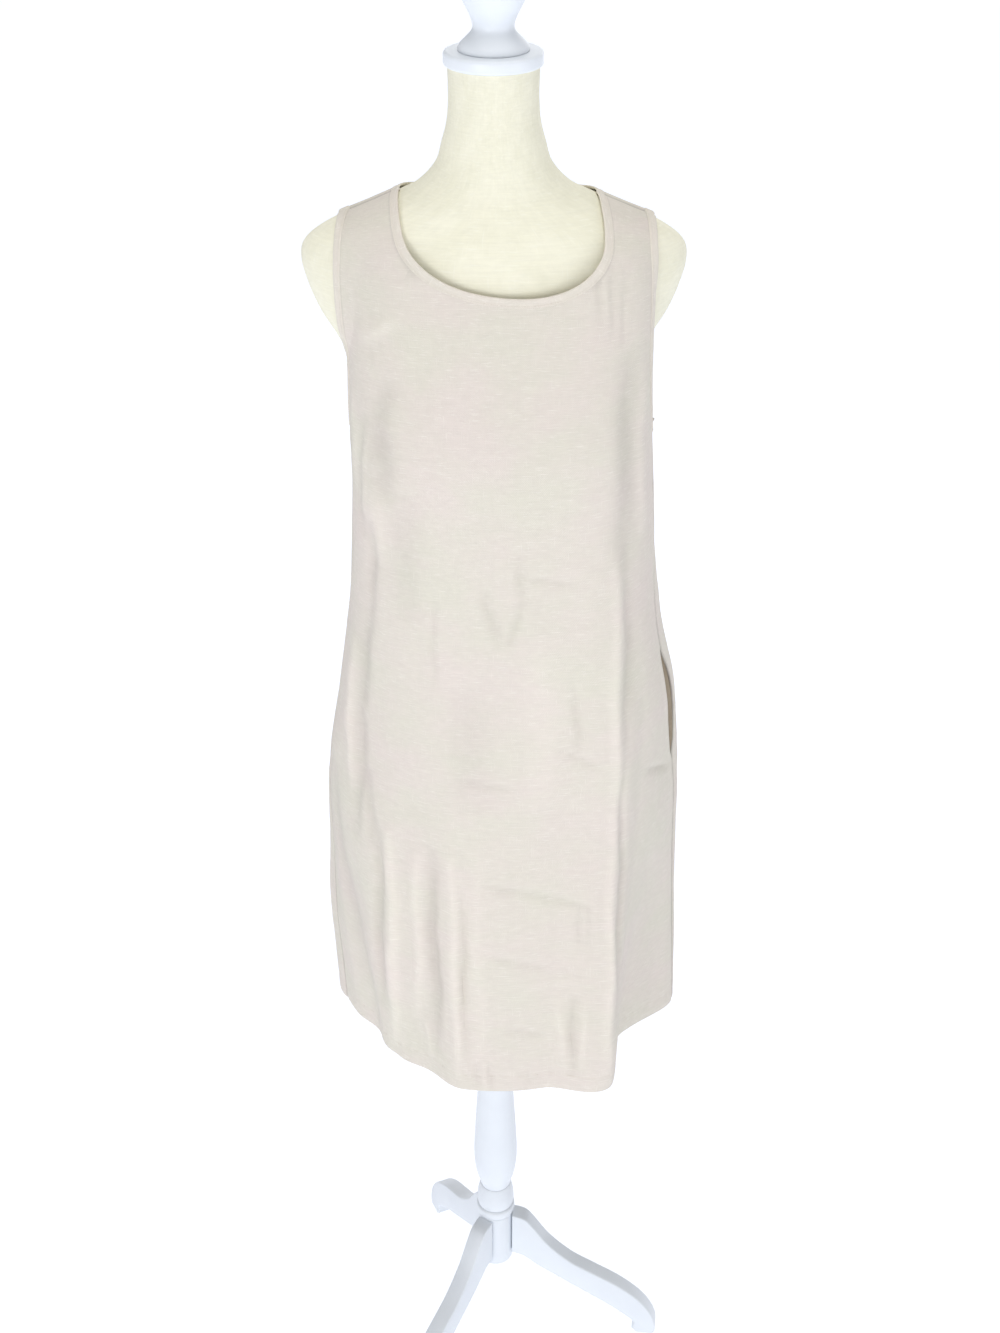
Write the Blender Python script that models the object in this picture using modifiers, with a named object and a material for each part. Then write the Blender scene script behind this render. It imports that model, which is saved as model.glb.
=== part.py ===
"""A sleeveless shift dress worn by a limbless dress form on a turned, three-legged stand.

Metres, +Z up, floor at z = 0. The dress faces -Y. Its in-seam pocket is on the +X side,
called the pocket side here, and the other side is the plain side.

The dress is one surface, read by an angle round the body and a height down its side line:
angle 0 is the centre front, 90 the pocket side, 180 the centre back and -90 the plain side.
The front, the back, the bindings and the pocket bags are all cut from that surface, so
they follow each other with the small gaps that their seams need.
"""
import math
from collections import namedtuple

import bmesh
import bpy
from mathutils import Vector
from mathutils.bvhtree import BVHTree

COLLECTION = "shift_dress_on_form"

# Cloth
WALL = 0.0015
SEAM_GAP = 0.0003
BINDING_WIDTH = 0.008
BINDING_THICKNESS = 0.0010
CLOTH_CLEARANCE = 0.0024
PROBE_ANGLE = 0.5
PROBE_HEIGHT = 0.0005
SAME_ANGLE = 0.0005
SHARP_ANGLE = 40.0

# Main heights of the dress, along its side line
SHOULDER = 1.559
UNDERARM = 1.352
FOLD_MIDDLE = 0.950
HEM = 0.575

# Reach is the half width on each side, front and back are depths from the stand's axis,
# rise lifts the centre of a section above its sides, and square is 2 for an ellipse and
# more for a boxier section.
Section = namedtuple("Section", "height reach_pocket reach_plain front back rise square")
DRESS_SECTIONS = (
    Section(SHOULDER, 0.165, 0.153, 0.000, 0.000, 0.037, 2.3),
    Section(1.5530, 0.1645, 0.152, 0.040, 0.038, 0.035, 2.3),
    Section(1.5430, 0.163, 0.150, 0.071, 0.066, 0.020, 2.4),
    Section(1.5290, 0.162, 0.148, 0.085, 0.080, 0.010, 2.6),
    Section(1.5100, 0.161, 0.147, 0.094, 0.090, 0.003, 2.8),
    Section(1.4700, 0.160, 0.145, 0.107, 0.100, 0.000, 2.9),
    Section(1.4300, 0.158, 0.1440, 0.117, 0.106, 0.000, 3.0),
    Section(1.3900, 0.157, 0.1435, 0.126, 0.109, 0.000, 3.0),
    Section(UNDERARM, 0.158, 0.1435, 0.131, 0.110, 0.000, 3.0),
    Section(1.2820, 0.163, 0.1455, 0.132, 0.109, 0.000, 2.9),
    Section(1.1890, 0.169, 0.150, 0.133, 0.109, 0.000, 2.8),
    Section(1.1150, 0.180, 0.1585, 0.135, 0.110, 0.000, 2.7),
    Section(1.0390, 0.197, 0.170, 0.138, 0.113, 0.000, 2.5),
    Section(0.9330, 0.206, 0.186, 0.142, 0.119, 0.000, 2.3),
    Section(0.8200, 0.211, 0.191, 0.147, 0.124, 0.000, 2.2),
    Section(0.7010, 0.216, 0.195, 0.152, 0.129, 0.000, 2.1),
    Section(HEM, 0.220, 0.193, 0.156, 0.132, 0.000, 2.0),
)

# A fold is a soft ridge (depth over zero) or trough (under zero) that runs down the cloth
# from one angle at its top to another at the hem.
Fold = namedtuple("Fold", "angle_top angle_hem spread top depth_middle depth_hem")
DRESS_FOLDS = (
    Fold(40.0, 30.0, 15.0, 1.430, 0.011, 0.026),
    Fold(66.0, 61.0, 30.0, 1.150, -0.010, -0.044),
    Fold(82.0, 80.0, 17.0, 0.880, 0.000, -0.009),
    Fold(-46.0, -50.0, 38.0, 1.250, -0.010, -0.026),
    Fold(-28.0, -26.0, 16.0, 1.000, -0.002, -0.011),
    Fold(-66.0, -65.0, 16.0, 1.020, -0.002, -0.012),
    Fold(-78.0, -80.0, 26.0, 0.980, -0.002, -0.020),
    Fold(-106.0, -108.0, 22.0, 1.050, 0.002, 0.006),
    Fold(128.0, 124.0, 22.0, 1.250, 0.005, 0.016),
    Fold(150.0, 150.0, 17.0, 1.150, -0.003, -0.012),
    Fold(178.0, 176.0, 20.0, 1.150, 0.004, 0.012),
    Fold(204.0, 206.0, 17.0, 1.100, -0.003, -0.012),
    Fold(230.0, 234.0, 20.0, 1.250, 0.004, 0.015),
)

# Angle of the pocket side's seam down the body
SeamPoint = namedtuple("SeamPoint", "height angle")
POCKET_SEAM = (
    SeamPoint(UNDERARM, 88.0),
    SeamPoint(1.250, 75.0),
    SeamPoint(1.180, 69.0),
    SeamPoint(1.140, 67.5),
    SeamPoint(1.100, 70.5),
    SeamPoint(1.060, 75.0),
    SeamPoint(1.020, 77.3),
    SeamPoint(0.960, 78.5),
    SeamPoint(0.880, 82.0),
    SeamPoint(0.765, 87.0),
    SeamPoint(HEM, 91.5),
)
PLAIN_SEAM_ANGLE = -92.0

# Pocket
POCKET_TOP = 1.112
POCKET_BOTTOM = 0.958
POCKET_GAPE = 6.5
POCKET_GAPE_SHAPE = 0.9
BAG_DEPTH = 0.235
BAG_REACH = 34.0
BAG_WALL = 0.0010
BAG_GAP = 0.0008
BAG_SLACK = 0.0022
BAG_COLUMNS = 9
BAG_ROWS = 12
# The bag starts just inside the seam, and leaves it below the mouth.
BAG_EDGE_TURN = 0.3
BAG_LEAVES_BY = 6.0
BAG_LEAVES_OVER = 0.080
# Its foot is rounded: the lowest part of its depth narrows by this share, and its top a little.
BAG_FOOT_PART = 0.45
BAG_FOOT_NARROWS = 0.55
BAG_FOOT_SHAPE = 2.2
BAG_TOP_NARROWS = 0.25

# A neckline is an arc from one shoulder seam to the other: low_x is its lowest place,
# reach its half widths and end the angle of arc at which each side meets its seam.
Neckline = namedtuple("Neckline", "low_x low_height reach_plain end_plain reach_pocket end_pocket")
NECK_FRONT = Neckline(0.028, 1.5070, 0.117, 92.0, 0.076, 113.0)
NECK_BACK = Neckline(0.005, 1.5470, 0.094, 90.0, 0.093, 90.0)

# An armhole's edge scoops in from the side seam, by an angle round the body.
Armhole = namedtuple("Armhole", "scoop end sharpness")
ARMHOLE_FRONT = Armhole(25.0, 122.0, 0.8)
ARMHOLE_BACK = Armhole(24.0, 113.0, 0.8)

# Cells of the panels' walls. The strap's rows lie beside the steep sides of the neckline,
# which part from its shallow middle at the turn.
Cells = namedtuple("Cells", "neck_columns neck_turn strap_rows")
FRONT_CELLS = Cells(22, 58.0, 7)
BACK_CELLS = Cells(16, 45.0, 4)
STRAP_COLUMNS = 5
SIDE_ROWS = 17
ARMHOLE_ROWS = 16
EDGE_SAMPLES = 240
SMOOTHING_ROUNDS = 80

# Dress form, from the top of the neck down
FormSection = namedtuple("FormSection", "height reach front back square")
FORM_TOP = 1.6980
FORM_BOTTOM = 0.8800
FORM_SECTIONS = (
    FormSection(FORM_TOP, 0.0425, 0.0425, 0.0425, 2.0),
    FormSection(1.6700, 0.0420, 0.0425, 0.0420, 2.0),
    FormSection(1.6480, 0.0438, 0.0440, 0.0425, 2.0),
    FormSection(1.6300, 0.0485, 0.0455, 0.0435, 2.0),
    FormSection(1.6090, 0.0555, 0.0490, 0.0460, 2.0),
    FormSection(1.5890, 0.0750, 0.0550, 0.0500, 2.0),
    FormSection(1.5785, 0.0975, 0.0600, 0.0510, 2.0),
    FormSection(1.5665, 0.1260, 0.0650, 0.0525, 2.0),
    FormSection(1.5535, 0.1580, 0.0710, 0.0570, 1.9),
    FormSection(1.5375, 0.1800, 0.0780, 0.0670, 1.8),
    FormSection(1.5200, 0.1850, 0.0850, 0.0750, 1.8),
    FormSection(1.4950, 0.1795, 0.0930, 0.0840, 1.85),
    FormSection(1.4700, 0.1690, 0.0990, 0.0900, 1.95),
    FormSection(1.4450, 0.1525, 0.1050, 0.0950, 2.15),
    FormSection(1.4100, 0.1365, 0.1140, 0.0980, 2.4),
    FormSection(1.3520, 0.1350, 0.1240, 0.1020, 2.5),
    FormSection(1.3000, 0.1340, 0.1200, 0.0980, 2.4),
    FormSection(1.2200, 0.1280, 0.1040, 0.0880, 2.3),
    FormSection(1.1300, 0.1200, 0.0920, 0.0790, 2.2),
    FormSection(1.0400, 0.1340, 0.1010, 0.0930, 2.2),
    FormSection(0.9700, 0.1520, 0.1110, 0.1070, 2.2),
    FormSection(0.9150, 0.1600, 0.1160, 0.1120, 2.2),
    FormSection(0.8880, 0.1590, 0.1150, 0.1110, 2.2),
    FormSection(FORM_BOTTOM, 0.1520, 0.1080, 0.1040, 2.2),
)
FORM_COLUMNS = 40
FORM_REST_DETAIL = 4

# Stand, by radius and height. The profiles run from the top down their outer side.
ProfilePoint = namedtuple("ProfilePoint", "radius height")
DISC_RADIUS = 0.0462
DISC_THICKNESS = 0.0130
DISC_EDGE = 0.0035
DISC_BOTTOM = FORM_TOP + SEAM_GAP
DISC_TOP = DISC_BOTTOM + DISC_THICKNESS
FINIAL_FOOT = DISC_TOP + SEAM_GAP
FINIAL_TOP = 1.8010
FINIAL_PROFILE = (
    ProfilePoint(0.0060, FINIAL_TOP - 0.0006),
    ProfilePoint(0.0100, FINIAL_TOP - 0.0030),
    ProfilePoint(0.0112, FINIAL_TOP - 0.0070),
    ProfilePoint(0.0150, FINIAL_TOP - 0.0105),
    ProfilePoint(0.0240, FINIAL_TOP - 0.0160),
    ProfilePoint(0.0300, FINIAL_TOP - 0.0240),
    ProfilePoint(0.0318, FINIAL_TOP - 0.0320),
    ProfilePoint(0.0308, FINIAL_TOP - 0.0400),
    ProfilePoint(0.0270, FINIAL_TOP - 0.0490),
    ProfilePoint(0.0222, FINIAL_TOP - 0.0580),
    ProfilePoint(0.0192, FINIAL_TOP - 0.0670),
    ProfilePoint(0.0206, FINIAL_TOP - 0.0730),
    ProfilePoint(0.0262, FINIAL_TOP - 0.0790),
    ProfilePoint(0.0312, FINIAL_TOP - 0.0840),
    ProfilePoint(0.0328, FINIAL_TOP - 0.0875),
)
RING_TOP = 0.2250
RING_BOTTOM = 0.2095
RING_RADIUS = 0.0250
RING_EDGE = 0.0040
POST_TOP = FORM_BOTTOM - SEAM_GAP
POST_FOOT = RING_TOP + SEAM_GAP
POST_PROFILE = (
    ProfilePoint(0.0160, POST_TOP),
    ProfilePoint(0.0160, 0.6200),
    ProfilePoint(0.0170, 0.5600),
    ProfilePoint(0.0192, 0.4950),
    ProfilePoint(0.0218, 0.4400),
    ProfilePoint(0.0240, 0.4000),
    ProfilePoint(0.0262, 0.3600),
    ProfilePoint(0.0277, 0.3250),
    ProfilePoint(0.0270, 0.3000),
    ProfilePoint(0.0240, 0.2800),
    ProfilePoint(0.0206, 0.2650),
    ProfilePoint(0.0192, 0.2540),
    ProfilePoint(0.0202, 0.2440),
    ProfilePoint(0.0226, 0.2340),
    ProfilePoint(0.0236, POST_FOOT),
)
HUB_RADIUS = 0.0228
HUB_TOP = RING_BOTTOM - SEAM_GAP
HUB_BOTTOM = 0.1230
HUB_CHAMFER = 0.0040
TURNED_STEPS = 28
POST_STEPS = 20

# Leg: one board outline, by distance from the stand's axis and height, used three times
LEG_THICKNESS = 0.0220
LEG_EDGE = 0.0015
LEG_START = HUB_RADIUS + SEAM_GAP
LEG_TOP_EDGE = (
    ProfilePoint(LEG_START, 0.2070),
    ProfilePoint(0.0400, 0.2020),
    ProfilePoint(0.0530, 0.1860),
    ProfilePoint(0.0720, 0.1580),
    ProfilePoint(0.1020, 0.1290),
    ProfilePoint(0.1350, 0.1090),
    ProfilePoint(0.1670, 0.0900),
    ProfilePoint(0.1940, 0.0680),
    ProfilePoint(0.2110, 0.0460),
    ProfilePoint(0.2205, 0.0230),
    ProfilePoint(0.2215, 0.0060),
    ProfilePoint(0.2185, 0.0000),
)
LEG_LOWER_EDGE = (
    ProfilePoint(0.1960, 0.0000),
    ProfilePoint(0.1895, 0.0080),
    ProfilePoint(0.1920, 0.0200),
    ProfilePoint(0.1790, 0.0330),
    ProfilePoint(0.1530, 0.0530),
    ProfilePoint(0.1240, 0.0720),
    ProfilePoint(0.0880, 0.0960),
    ProfilePoint(0.0600, 0.1150),
    ProfilePoint(0.0380, 0.1330),
    ProfilePoint(LEG_START, 0.1380),
)
LEG_ANGLES = {"leg_side": -7.0, "leg_back": 113.0, "leg_front": 235.5}

# The stand's axis stands where the middle of the whole object's box is the origin.
AXIS_X = -0.0134
AXIS_Y = -0.0099

CREAM = (0.880, 0.855, 0.720)
OATMEAL = (0.745, 0.695, 0.620)
OATMEAL_EDGE = (0.720, 0.668, 0.590)
OATMEAL_SHADE = (0.560, 0.500, 0.425)
WHITE_PAINT = (0.860, 0.880, 0.905)


def make_material(name, colour, roughness):
    """Give a finish with one colour and roughness."""
    material = bpy.data.materials.new(name)
    material.use_nodes = True
    shader = material.node_tree.nodes["Principled BSDF"]
    shader.inputs["Base Color"].default_value = (*colour, 1.0)
    shader.inputs["Roughness"].default_value = roughness
    shader.inputs["Metallic"].default_value = 0.0
    return material


def place(mesh, name, material, collection, axis):
    """Make a mesh an object that stands with the stand's axis."""
    piece = bpy.data.objects.new(name, mesh)
    mesh.materials.append(material)
    collection.objects.link(piece)
    piece.parent = axis
    return piece


def smooth_value(rows, column, height):
    """Read one column of a table at a height, on a smooth curve through its rows."""
    heights = [row.height for row in rows]
    values = [getattr(row, column) for row in rows]
    if height >= heights[0]:
        return values[0]
    if height <= heights[-1]:
        return values[-1]
    upper = max(index for index, at in enumerate(heights) if at > height)

    def slope(index):
        before = max(index - 1, 0)
        after = min(index + 1, len(rows) - 1)
        return (values[after] - values[before]) / (heights[after] - heights[before])

    span = heights[upper + 1] - heights[upper]
    part = (height - heights[upper]) / span
    return (
        (1 + 2 * part) * (1 - part) ** 2 * values[upper]
        + part * (1 - part) ** 2 * span * slope(upper)
        + part ** 2 * (3 - 2 * part) * values[upper + 1]
        - part ** 2 * (1 - part) * span * slope(upper + 1)
    )


def ease(part):
    """Go smoothly from 0 to 1 as part does."""
    part = min(max(part, 0.0), 1.0)
    return part * part * (3 - 2 * part)


def unit_section(angle, square):
    """Point on a rounded unit section: sideways, and towards the front."""
    sideways = math.sin(math.radians(angle))
    forwards = math.cos(math.radians(angle))
    size = (abs(sideways) ** square + abs(forwards) ** square) ** (1 / square)
    return sideways / size, forwards / size


def angle_of(x, height, front=True):
    """Angle round the dress at which its section reaches sideways to x."""
    reach = smooth_value(DRESS_SECTIONS, "reach_pocket" if x > 0 else "reach_plain", height)
    square = smooth_value(DRESS_SECTIONS, "square", height)
    sideways = min(abs(x) / reach, 1.0)
    forwards = (1 - sideways ** square) ** (1 / square)
    angle = math.degrees(math.atan2(math.copysign(sideways, x), forwards))
    return angle if front else 180.0 - angle


def fold_depth(angle, height):
    """How far the folds lift the cloth at a place."""
    depth = 0.0
    for fold in DRESS_FOLDS:
        if height >= fold.top:
            continue
        down = (fold.top - height) / (fold.top - HEM)
        middle = fold.angle_top + (fold.angle_hem - fold.angle_top) * down
        away = abs((angle - middle + 180.0) % 360.0 - 180.0) / fold.spread
        if away >= 1.0:
            continue
        if height > FOLD_MIDDLE:
            lift = fold.depth_middle * ease((fold.top - height) / (fold.top - FOLD_MIDDLE))
        else:
            below = (FOLD_MIDDLE - height) / (FOLD_MIDDLE - HEM)
            lift = fold.depth_middle + (fold.depth_hem - fold.depth_middle) * ease(below)
        depth += lift * (0.5 + 0.5 * math.cos(math.pi * away))
    return depth


def dress_point(angle, height):
    """Point of the dress's outer face."""
    square = smooth_value(DRESS_SECTIONS, "square", height)
    sideways, forwards = unit_section(angle, square)
    reach = smooth_value(DRESS_SECTIONS, "reach_pocket" if sideways > 0 else "reach_plain", height)
    depth = smooth_value(DRESS_SECTIONS, "front" if forwards > 0 else "back", height)
    rise = smooth_value(DRESS_SECTIONS, "rise", height)
    x = reach * sideways
    y = -depth * forwards
    lift = fold_depth(angle, height)
    if lift:
        away = math.hypot(x, y)
        x += lift * x / away
        y += lift * y / away
    return Vector((x, y, height + rise * (1 - sideways ** 2)))


def dress_slopes(angle, height):
    """How the outer face moves for one degree and for one metre of height."""
    lower = height - PROBE_HEIGHT
    upper = min(height + PROBE_HEIGHT, SHOULDER)
    across = dress_point(angle + PROBE_ANGLE, height) - dress_point(angle - PROBE_ANGLE, height)
    along = dress_point(angle, upper) - dress_point(angle, lower)
    return across / (2 * PROBE_ANGLE), along / (upper - lower)


def dress_normal(angle, height):
    """Direction out of the cloth. On the shoulder seam it leans to neither panel."""
    across, along = dress_slopes(angle, height)
    normal = across.cross(along).normalized()
    if height >= SHOULDER:
        normal.y = 0.0
        normal.normalize()
    return normal


def step_on_cloth(place_on, direction, distance):
    """Move along the cloth from an (angle, height) place, in a direction in space."""
    across, along = dress_slopes(*place_on)
    move = direction * distance
    aa = across.dot(across)
    ab = across.dot(along)
    bb = along.dot(along)
    ma = across.dot(move)
    mb = along.dot(move)
    size = aa * bb - ab * ab
    return (
        place_on[0] + (ma * bb - mb * ab) / size,
        min(place_on[1] + (mb * aa - ma * ab) / size, SHOULDER),
    )


def even_places(places, count):
    """Pick places from a fine line, the same distance apart on the cloth."""
    points = [dress_point(*at) for at in places]
    run = [0.0]
    for before, after in zip(points, points[1:]):
        run.append(run[-1] + (after - before).length)
    picked = []
    at = 0
    for index in range(count + 1):
        wanted = run[-1] * index / count
        while at < len(run) - 2 and run[at + 1] < wanted:
            at += 1
        part = (wanted - run[at]) / (run[at + 1] - run[at])
        picked.append(blend(places[at], places[at + 1], min(part, 1.0)))
    return picked


def neck_edge(neckline, front, cells):
    """Places along a neckline, from the plain side's shoulder seam to the pocket side's."""
    runs = (
        (-neckline.end_plain, -cells.neck_turn, cells.strap_rows),
        (-cells.neck_turn, cells.neck_turn, cells.neck_columns),
        (cells.neck_turn, neckline.end_pocket, cells.strap_rows),
    )
    line = []
    for first, last, count in runs:
        places = []
        for index in range(EDGE_SAMPLES + 1):
            turn = first + (last - first) * index / EDGE_SAMPLES
            reach = neckline.reach_plain if turn < 0 else neckline.reach_pocket
            end = math.cos(math.radians(neckline.end_plain if turn < 0 else neckline.end_pocket))
            x = neckline.low_x + reach * math.sin(math.radians(turn))
            down = (math.cos(math.radians(turn)) - end) / (1 - end)
            height = SHOULDER - (SHOULDER - neckline.low_height) * max(down, 0.0)
            places.append((angle_of(x, height, front), height))
        line += even_places(places, count)[1 if line else 0:]
    return line


def armhole_edge(armhole, seam_angle, way, count):
    """Places along one panel's armhole, from the side seam up to the shoulder seam."""
    places = []
    for index in range(EDGE_SAMPLES + 1):
        turn = math.radians(armhole.end * index / EDGE_SAMPLES)
        scoop = armhole.scoop * max(math.sin(turn), 0.0) ** armhole.sharpness
        up = (1 - math.cos(turn)) / (1 - math.cos(math.radians(armhole.end)))
        places.append((seam_angle + way * scoop, UNDERARM + (SHOULDER - UNDERARM) * up))
    return even_places(places, count)


def inset_edge(edge, inward):
    """The line a binding's width inside an edge. Its ends stay on their seams."""
    points = [dress_point(*at) for at in edge]
    line = []
    last = len(edge) - 1
    for index, at in enumerate(edge):
        before = points[max(index - 1, 0)]
        after = points[min(index + 1, last)]
        along_edge = (after - before).normalized()
        direction = dress_normal(*at).cross(along_edge) * inward
        moved = step_on_cloth(at, direction, BINDING_WIDTH)
        if index in (0, last) and at[1] >= SHOULDER:
            across, _ = dress_slopes(*at)
            way = math.copysign(1.0, moved[0] - at[0])
            moved = (at[0] + way * BINDING_WIDTH / across.length, SHOULDER)
        elif index == 0:
            moved = (at[0], at[1] - BINDING_WIDTH)
        line.append(moved)
    return line


def blend(start, end, part):
    """Place between two places."""
    return tuple(a + (b - a) * part for a, b in zip(start, end))


def fill_grid(bottom, top, left, right):
    """Places that fill the four lines round a block of cells, row by row from the bottom."""
    columns = len(bottom) - 1
    rows = len(left) - 1
    grid = []
    for row in range(rows + 1):
        up = row / rows
        line = []
        for column in range(columns + 1):
            over = column / columns
            by_height = blend(bottom[column], top[column], up)
            by_width = blend(left[row], right[row], over)
            low = blend(bottom[0], bottom[-1], over)
            high = blend(top[0], top[-1], over)
            corners = blend(low, high, up)
            line.append(tuple(h + w - c for h, w, c in zip(by_height, by_width, corners)))
        grid.append(line)
    return grid


def smoothed(grid):
    """Even out the places inside a block, so that none of its cells folds over."""
    for _ in range(SMOOTHING_ROUNDS):
        for row in range(1, len(grid) - 1):
            for column in range(1, len(grid[row]) - 1):
                around = (grid[row - 1][column], grid[row + 1][column])
                around += (grid[row][column - 1], grid[row][column + 1])
                grid[row][column] = tuple(sum(values) / 4 for values in zip(*around))
    return grid


class Panel:
    """Places and four-sided cells of one cut piece of the dress."""

    def __init__(self):
        self.places = []
        self.cells = []

    def add(self, places):
        """Add places and give their numbers."""
        first = len(self.places)
        self.places.extend(places)
        return list(range(first, len(self.places)))

    def add_block(self, grid, first_line=None):
        """Add a block of cells, whose first line may be one that is there already."""
        lines = [first_line or self.add(grid[0])]
        for row in grid[1:]:
            lines.append(self.add(row))
            self.join(lines[-2], lines[-1])
        return lines

    def join(self, lower, upper):
        """Add the cells between two lines of numbers, the lower one first."""
        for index in range(len(lower) - 1):
            self.cells.append((lower[index], lower[index + 1], upper[index + 1], upper[index]))


def seam_line(angle_at):
    """Places up a side seam, from the hem to just under the armhole's binding."""
    top = UNDERARM - BINDING_WIDTH
    heights = [HEM + (top - HEM) * row / SIDE_ROWS for row in range(SIDE_ROWS + 1)]
    return [(angle_at(height), height) for height in heights]


def pocket_seam_angle(height):
    """Angle of the pocket side's seam at a height."""
    return smooth_value(POCKET_SEAM, "angle", height)


def pocket_gape(height):
    """Angle by which the pocket's mouth stands open at a height."""
    if not POCKET_BOTTOM < height < POCKET_TOP:
        return 0.0
    part = (height - POCKET_BOTTOM) / (POCKET_TOP - POCKET_BOTTOM)
    return POCKET_GAPE * math.sin(math.pi * part) ** POCKET_GAPE_SHAPE


def front_pocket_edge(height):
    """Angle of the front panel's edge on the pocket side."""
    return pocket_seam_angle(height) - pocket_gape(height)


def between(start, end, count):
    """A line of places from one to another, both ends included."""
    return [blend(start, end, number / count) for number in range(count + 1)]


def cut_panel(front):
    """Lay out the front or the back, seen from outside: a skirt and chest block, a block for
    each strap, and a strip for the binding along the neck and each armhole.
    """
    if front:
        neckline, armhole, cells = NECK_FRONT, ARMHOLE_FRONT, FRONT_CELLS
        left_seam = seam_line(lambda height: PLAIN_SEAM_ANGLE)
        right_seam = seam_line(front_pocket_edge)
    else:
        neckline, armhole, cells = NECK_BACK, ARMHOLE_BACK, BACK_CELLS
        left_seam = seam_line(pocket_seam_angle)
        right_seam = seam_line(lambda height: PLAIN_SEAM_ANGLE + 360.0)
    left_hole = armhole_edge(armhole, left_seam[-1][0], 1, ARMHOLE_ROWS)
    right_hole = armhole_edge(armhole, right_seam[-1][0], -1, ARMHOLE_ROWS)
    neck = neck_edge(neckline, front, cells)
    if not front:
        neck.reverse()
    left_inset = inset_edge(left_hole, -1)
    right_inset = inset_edge(right_hole, 1)
    neck_inset = inset_edge(neck, -1)

    chest_rows = ARMHOLE_ROWS - cells.strap_rows
    left_turn = cells.strap_rows
    right_turn = cells.strap_rows + cells.neck_columns
    left_chest = between(left_inset[chest_rows], neck_inset[left_turn], STRAP_COLUMNS)
    right_chest = between(neck_inset[right_turn], right_inset[chest_rows], STRAP_COLUMNS)
    top = left_chest[:-1] + neck_inset[left_turn:right_turn + 1] + right_chest[1:]
    left = left_seam[:-1] + left_inset[:chest_rows + 1]
    right = right_seam[:-1] + right_inset[:chest_rows + 1]
    bottom = between(left[0], right[0], len(top) - 1)

    panel = Panel()
    body = panel.add_block(smoothed(fill_grid(bottom, top, left, right)))
    left_strap = panel.add_block(
        fill_grid(
            left_chest,
            between(left_inset[-1], neck_inset[0], STRAP_COLUMNS),
            left_inset[chest_rows:],
            neck_inset[left_turn::-1],
        ),
        body[-1][:STRAP_COLUMNS + 1],
    )
    right_strap = panel.add_block(
        fill_grid(
            right_chest,
            between(neck_inset[-1], right_inset[-1], STRAP_COLUMNS),
            neck_inset[right_turn:],
            right_inset[chest_rows:],
        ),
        body[-1][-STRAP_COLUMNS - 1:],
    )

    panel.neck = panel.add(neck)
    panel.neck_inset = [line[-1] for line in reversed(left_strap)]
    panel.neck_inset += body[-1][STRAP_COLUMNS + 1:-STRAP_COLUMNS - 1]
    panel.neck_inset += [line[0] for line in right_strap]
    panel.join(panel.neck_inset, panel.neck)
    panel.left_hole = panel.add(left_hole)
    panel.left_inset = [line[0] for line in body[SIDE_ROWS:]]
    panel.left_inset += [line[0] for line in left_strap[1:]]
    panel.join(panel.left_hole[::-1], panel.left_inset[::-1])
    panel.right_hole = panel.add(right_hole)
    panel.right_inset = [line[-1] for line in body[SIDE_ROWS:]]
    panel.right_inset += [line[-1] for line in right_strap[1:]]
    panel.join(panel.right_hole, panel.right_inset)
    return panel


def seam_shift(panel, number, front):
    """Half a seam's gap, away from the other panel, for a place on a seam."""
    angle, height = panel.places[number]
    shift = Vector((0.0, 0.0, 0.0))
    half = SEAM_GAP / 2
    if height >= SHOULDER:
        shift.y -= half if front else -half
    across, _ = dress_slopes(angle, height)
    way = across.normalized() * half
    if front and height <= UNDERARM:
        if angle >= front_pocket_edge(height) - SAME_ANGLE:
            shift -= way
        if angle <= PLAIN_SEAM_ANGLE + SAME_ANGLE:
            shift += way
    if not front and height <= UNDERARM:
        if angle <= pocket_seam_angle(height) + SAME_ANGLE:
            shift += way
        if angle >= PLAIN_SEAM_ANGLE + 360.0 - SAME_ANGLE:
            shift -= way
    return shift


def lay_on_form(panel, front, form_tree):
    """Points of a panel's outer face, lifted where its cloth rests on the form."""
    points = []
    normals = []
    for number, at in enumerate(panel.places):
        normal = dress_normal(*at)
        point = dress_point(*at) + seam_shift(panel, number, front)
        inside = point - normal * WALL
        near, outward, _, _ = form_tree.find_nearest(inside)
        short = CLOTH_CLEARANCE - (inside - near).dot(outward)
        if short > 0:
            point = point + outward * short
        points.append(point)
        normals.append(normal)
    return points, normals


def closed_wall(outer, inner, cells, name):
    """Make one closed mesh of an outer face, an inner face and the rims between them."""
    count = len(outer)
    halves = [half for a, b, c, d in cells for half in ((a, b, c), (a, c, d))]
    edges = {(half[n], half[(n + 1) % 3]) for half in halves for n in range(3)}
    faces = list(halves)
    faces += [tuple(count + number for number in reversed(half)) for half in halves]
    faces += [(b, a, count + a, count + b) for a, b in sorted(edges) if (b, a) not in edges]
    mesh = bpy.data.meshes.new(name)
    mesh.from_pydata([*outer, *inner], [], faces)
    mesh.update()
    shade(mesh)
    return mesh


def shade(mesh):
    """Shade a mesh smooth, with its square edges sharp."""
    mesh.shade_smooth()
    mesh.set_sharp_from_angle(angle=math.radians(SHARP_ANGLE))


def binding(edge_runs, name):
    """A turned strip that lies on the cloth along an edge that runs over several panels.

    Each run gives points on the edge, points a width inside it, and their normals.
    """
    lows = [point for run in edge_runs for point in run[0]]
    highs = [point for run in edge_runs for point in run[1]]
    low_normals = [normal for run in edge_runs for normal in run[2]]
    high_normals = [normal for run in edge_runs for normal in run[3]]
    count = len(lows)
    cells = [(n, (n + 1) % count, count + (n + 1) % count, count + n) for n in range(count)]
    points = lows + highs
    normals = low_normals + high_normals
    inner = [point + normal * SEAM_GAP for point, normal in zip(points, normals)]
    rise = SEAM_GAP + BINDING_THICKNESS
    outer = [point + normal * rise for point, normal in zip(points, normals)]
    return closed_wall(outer, inner, cells, name)


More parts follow.
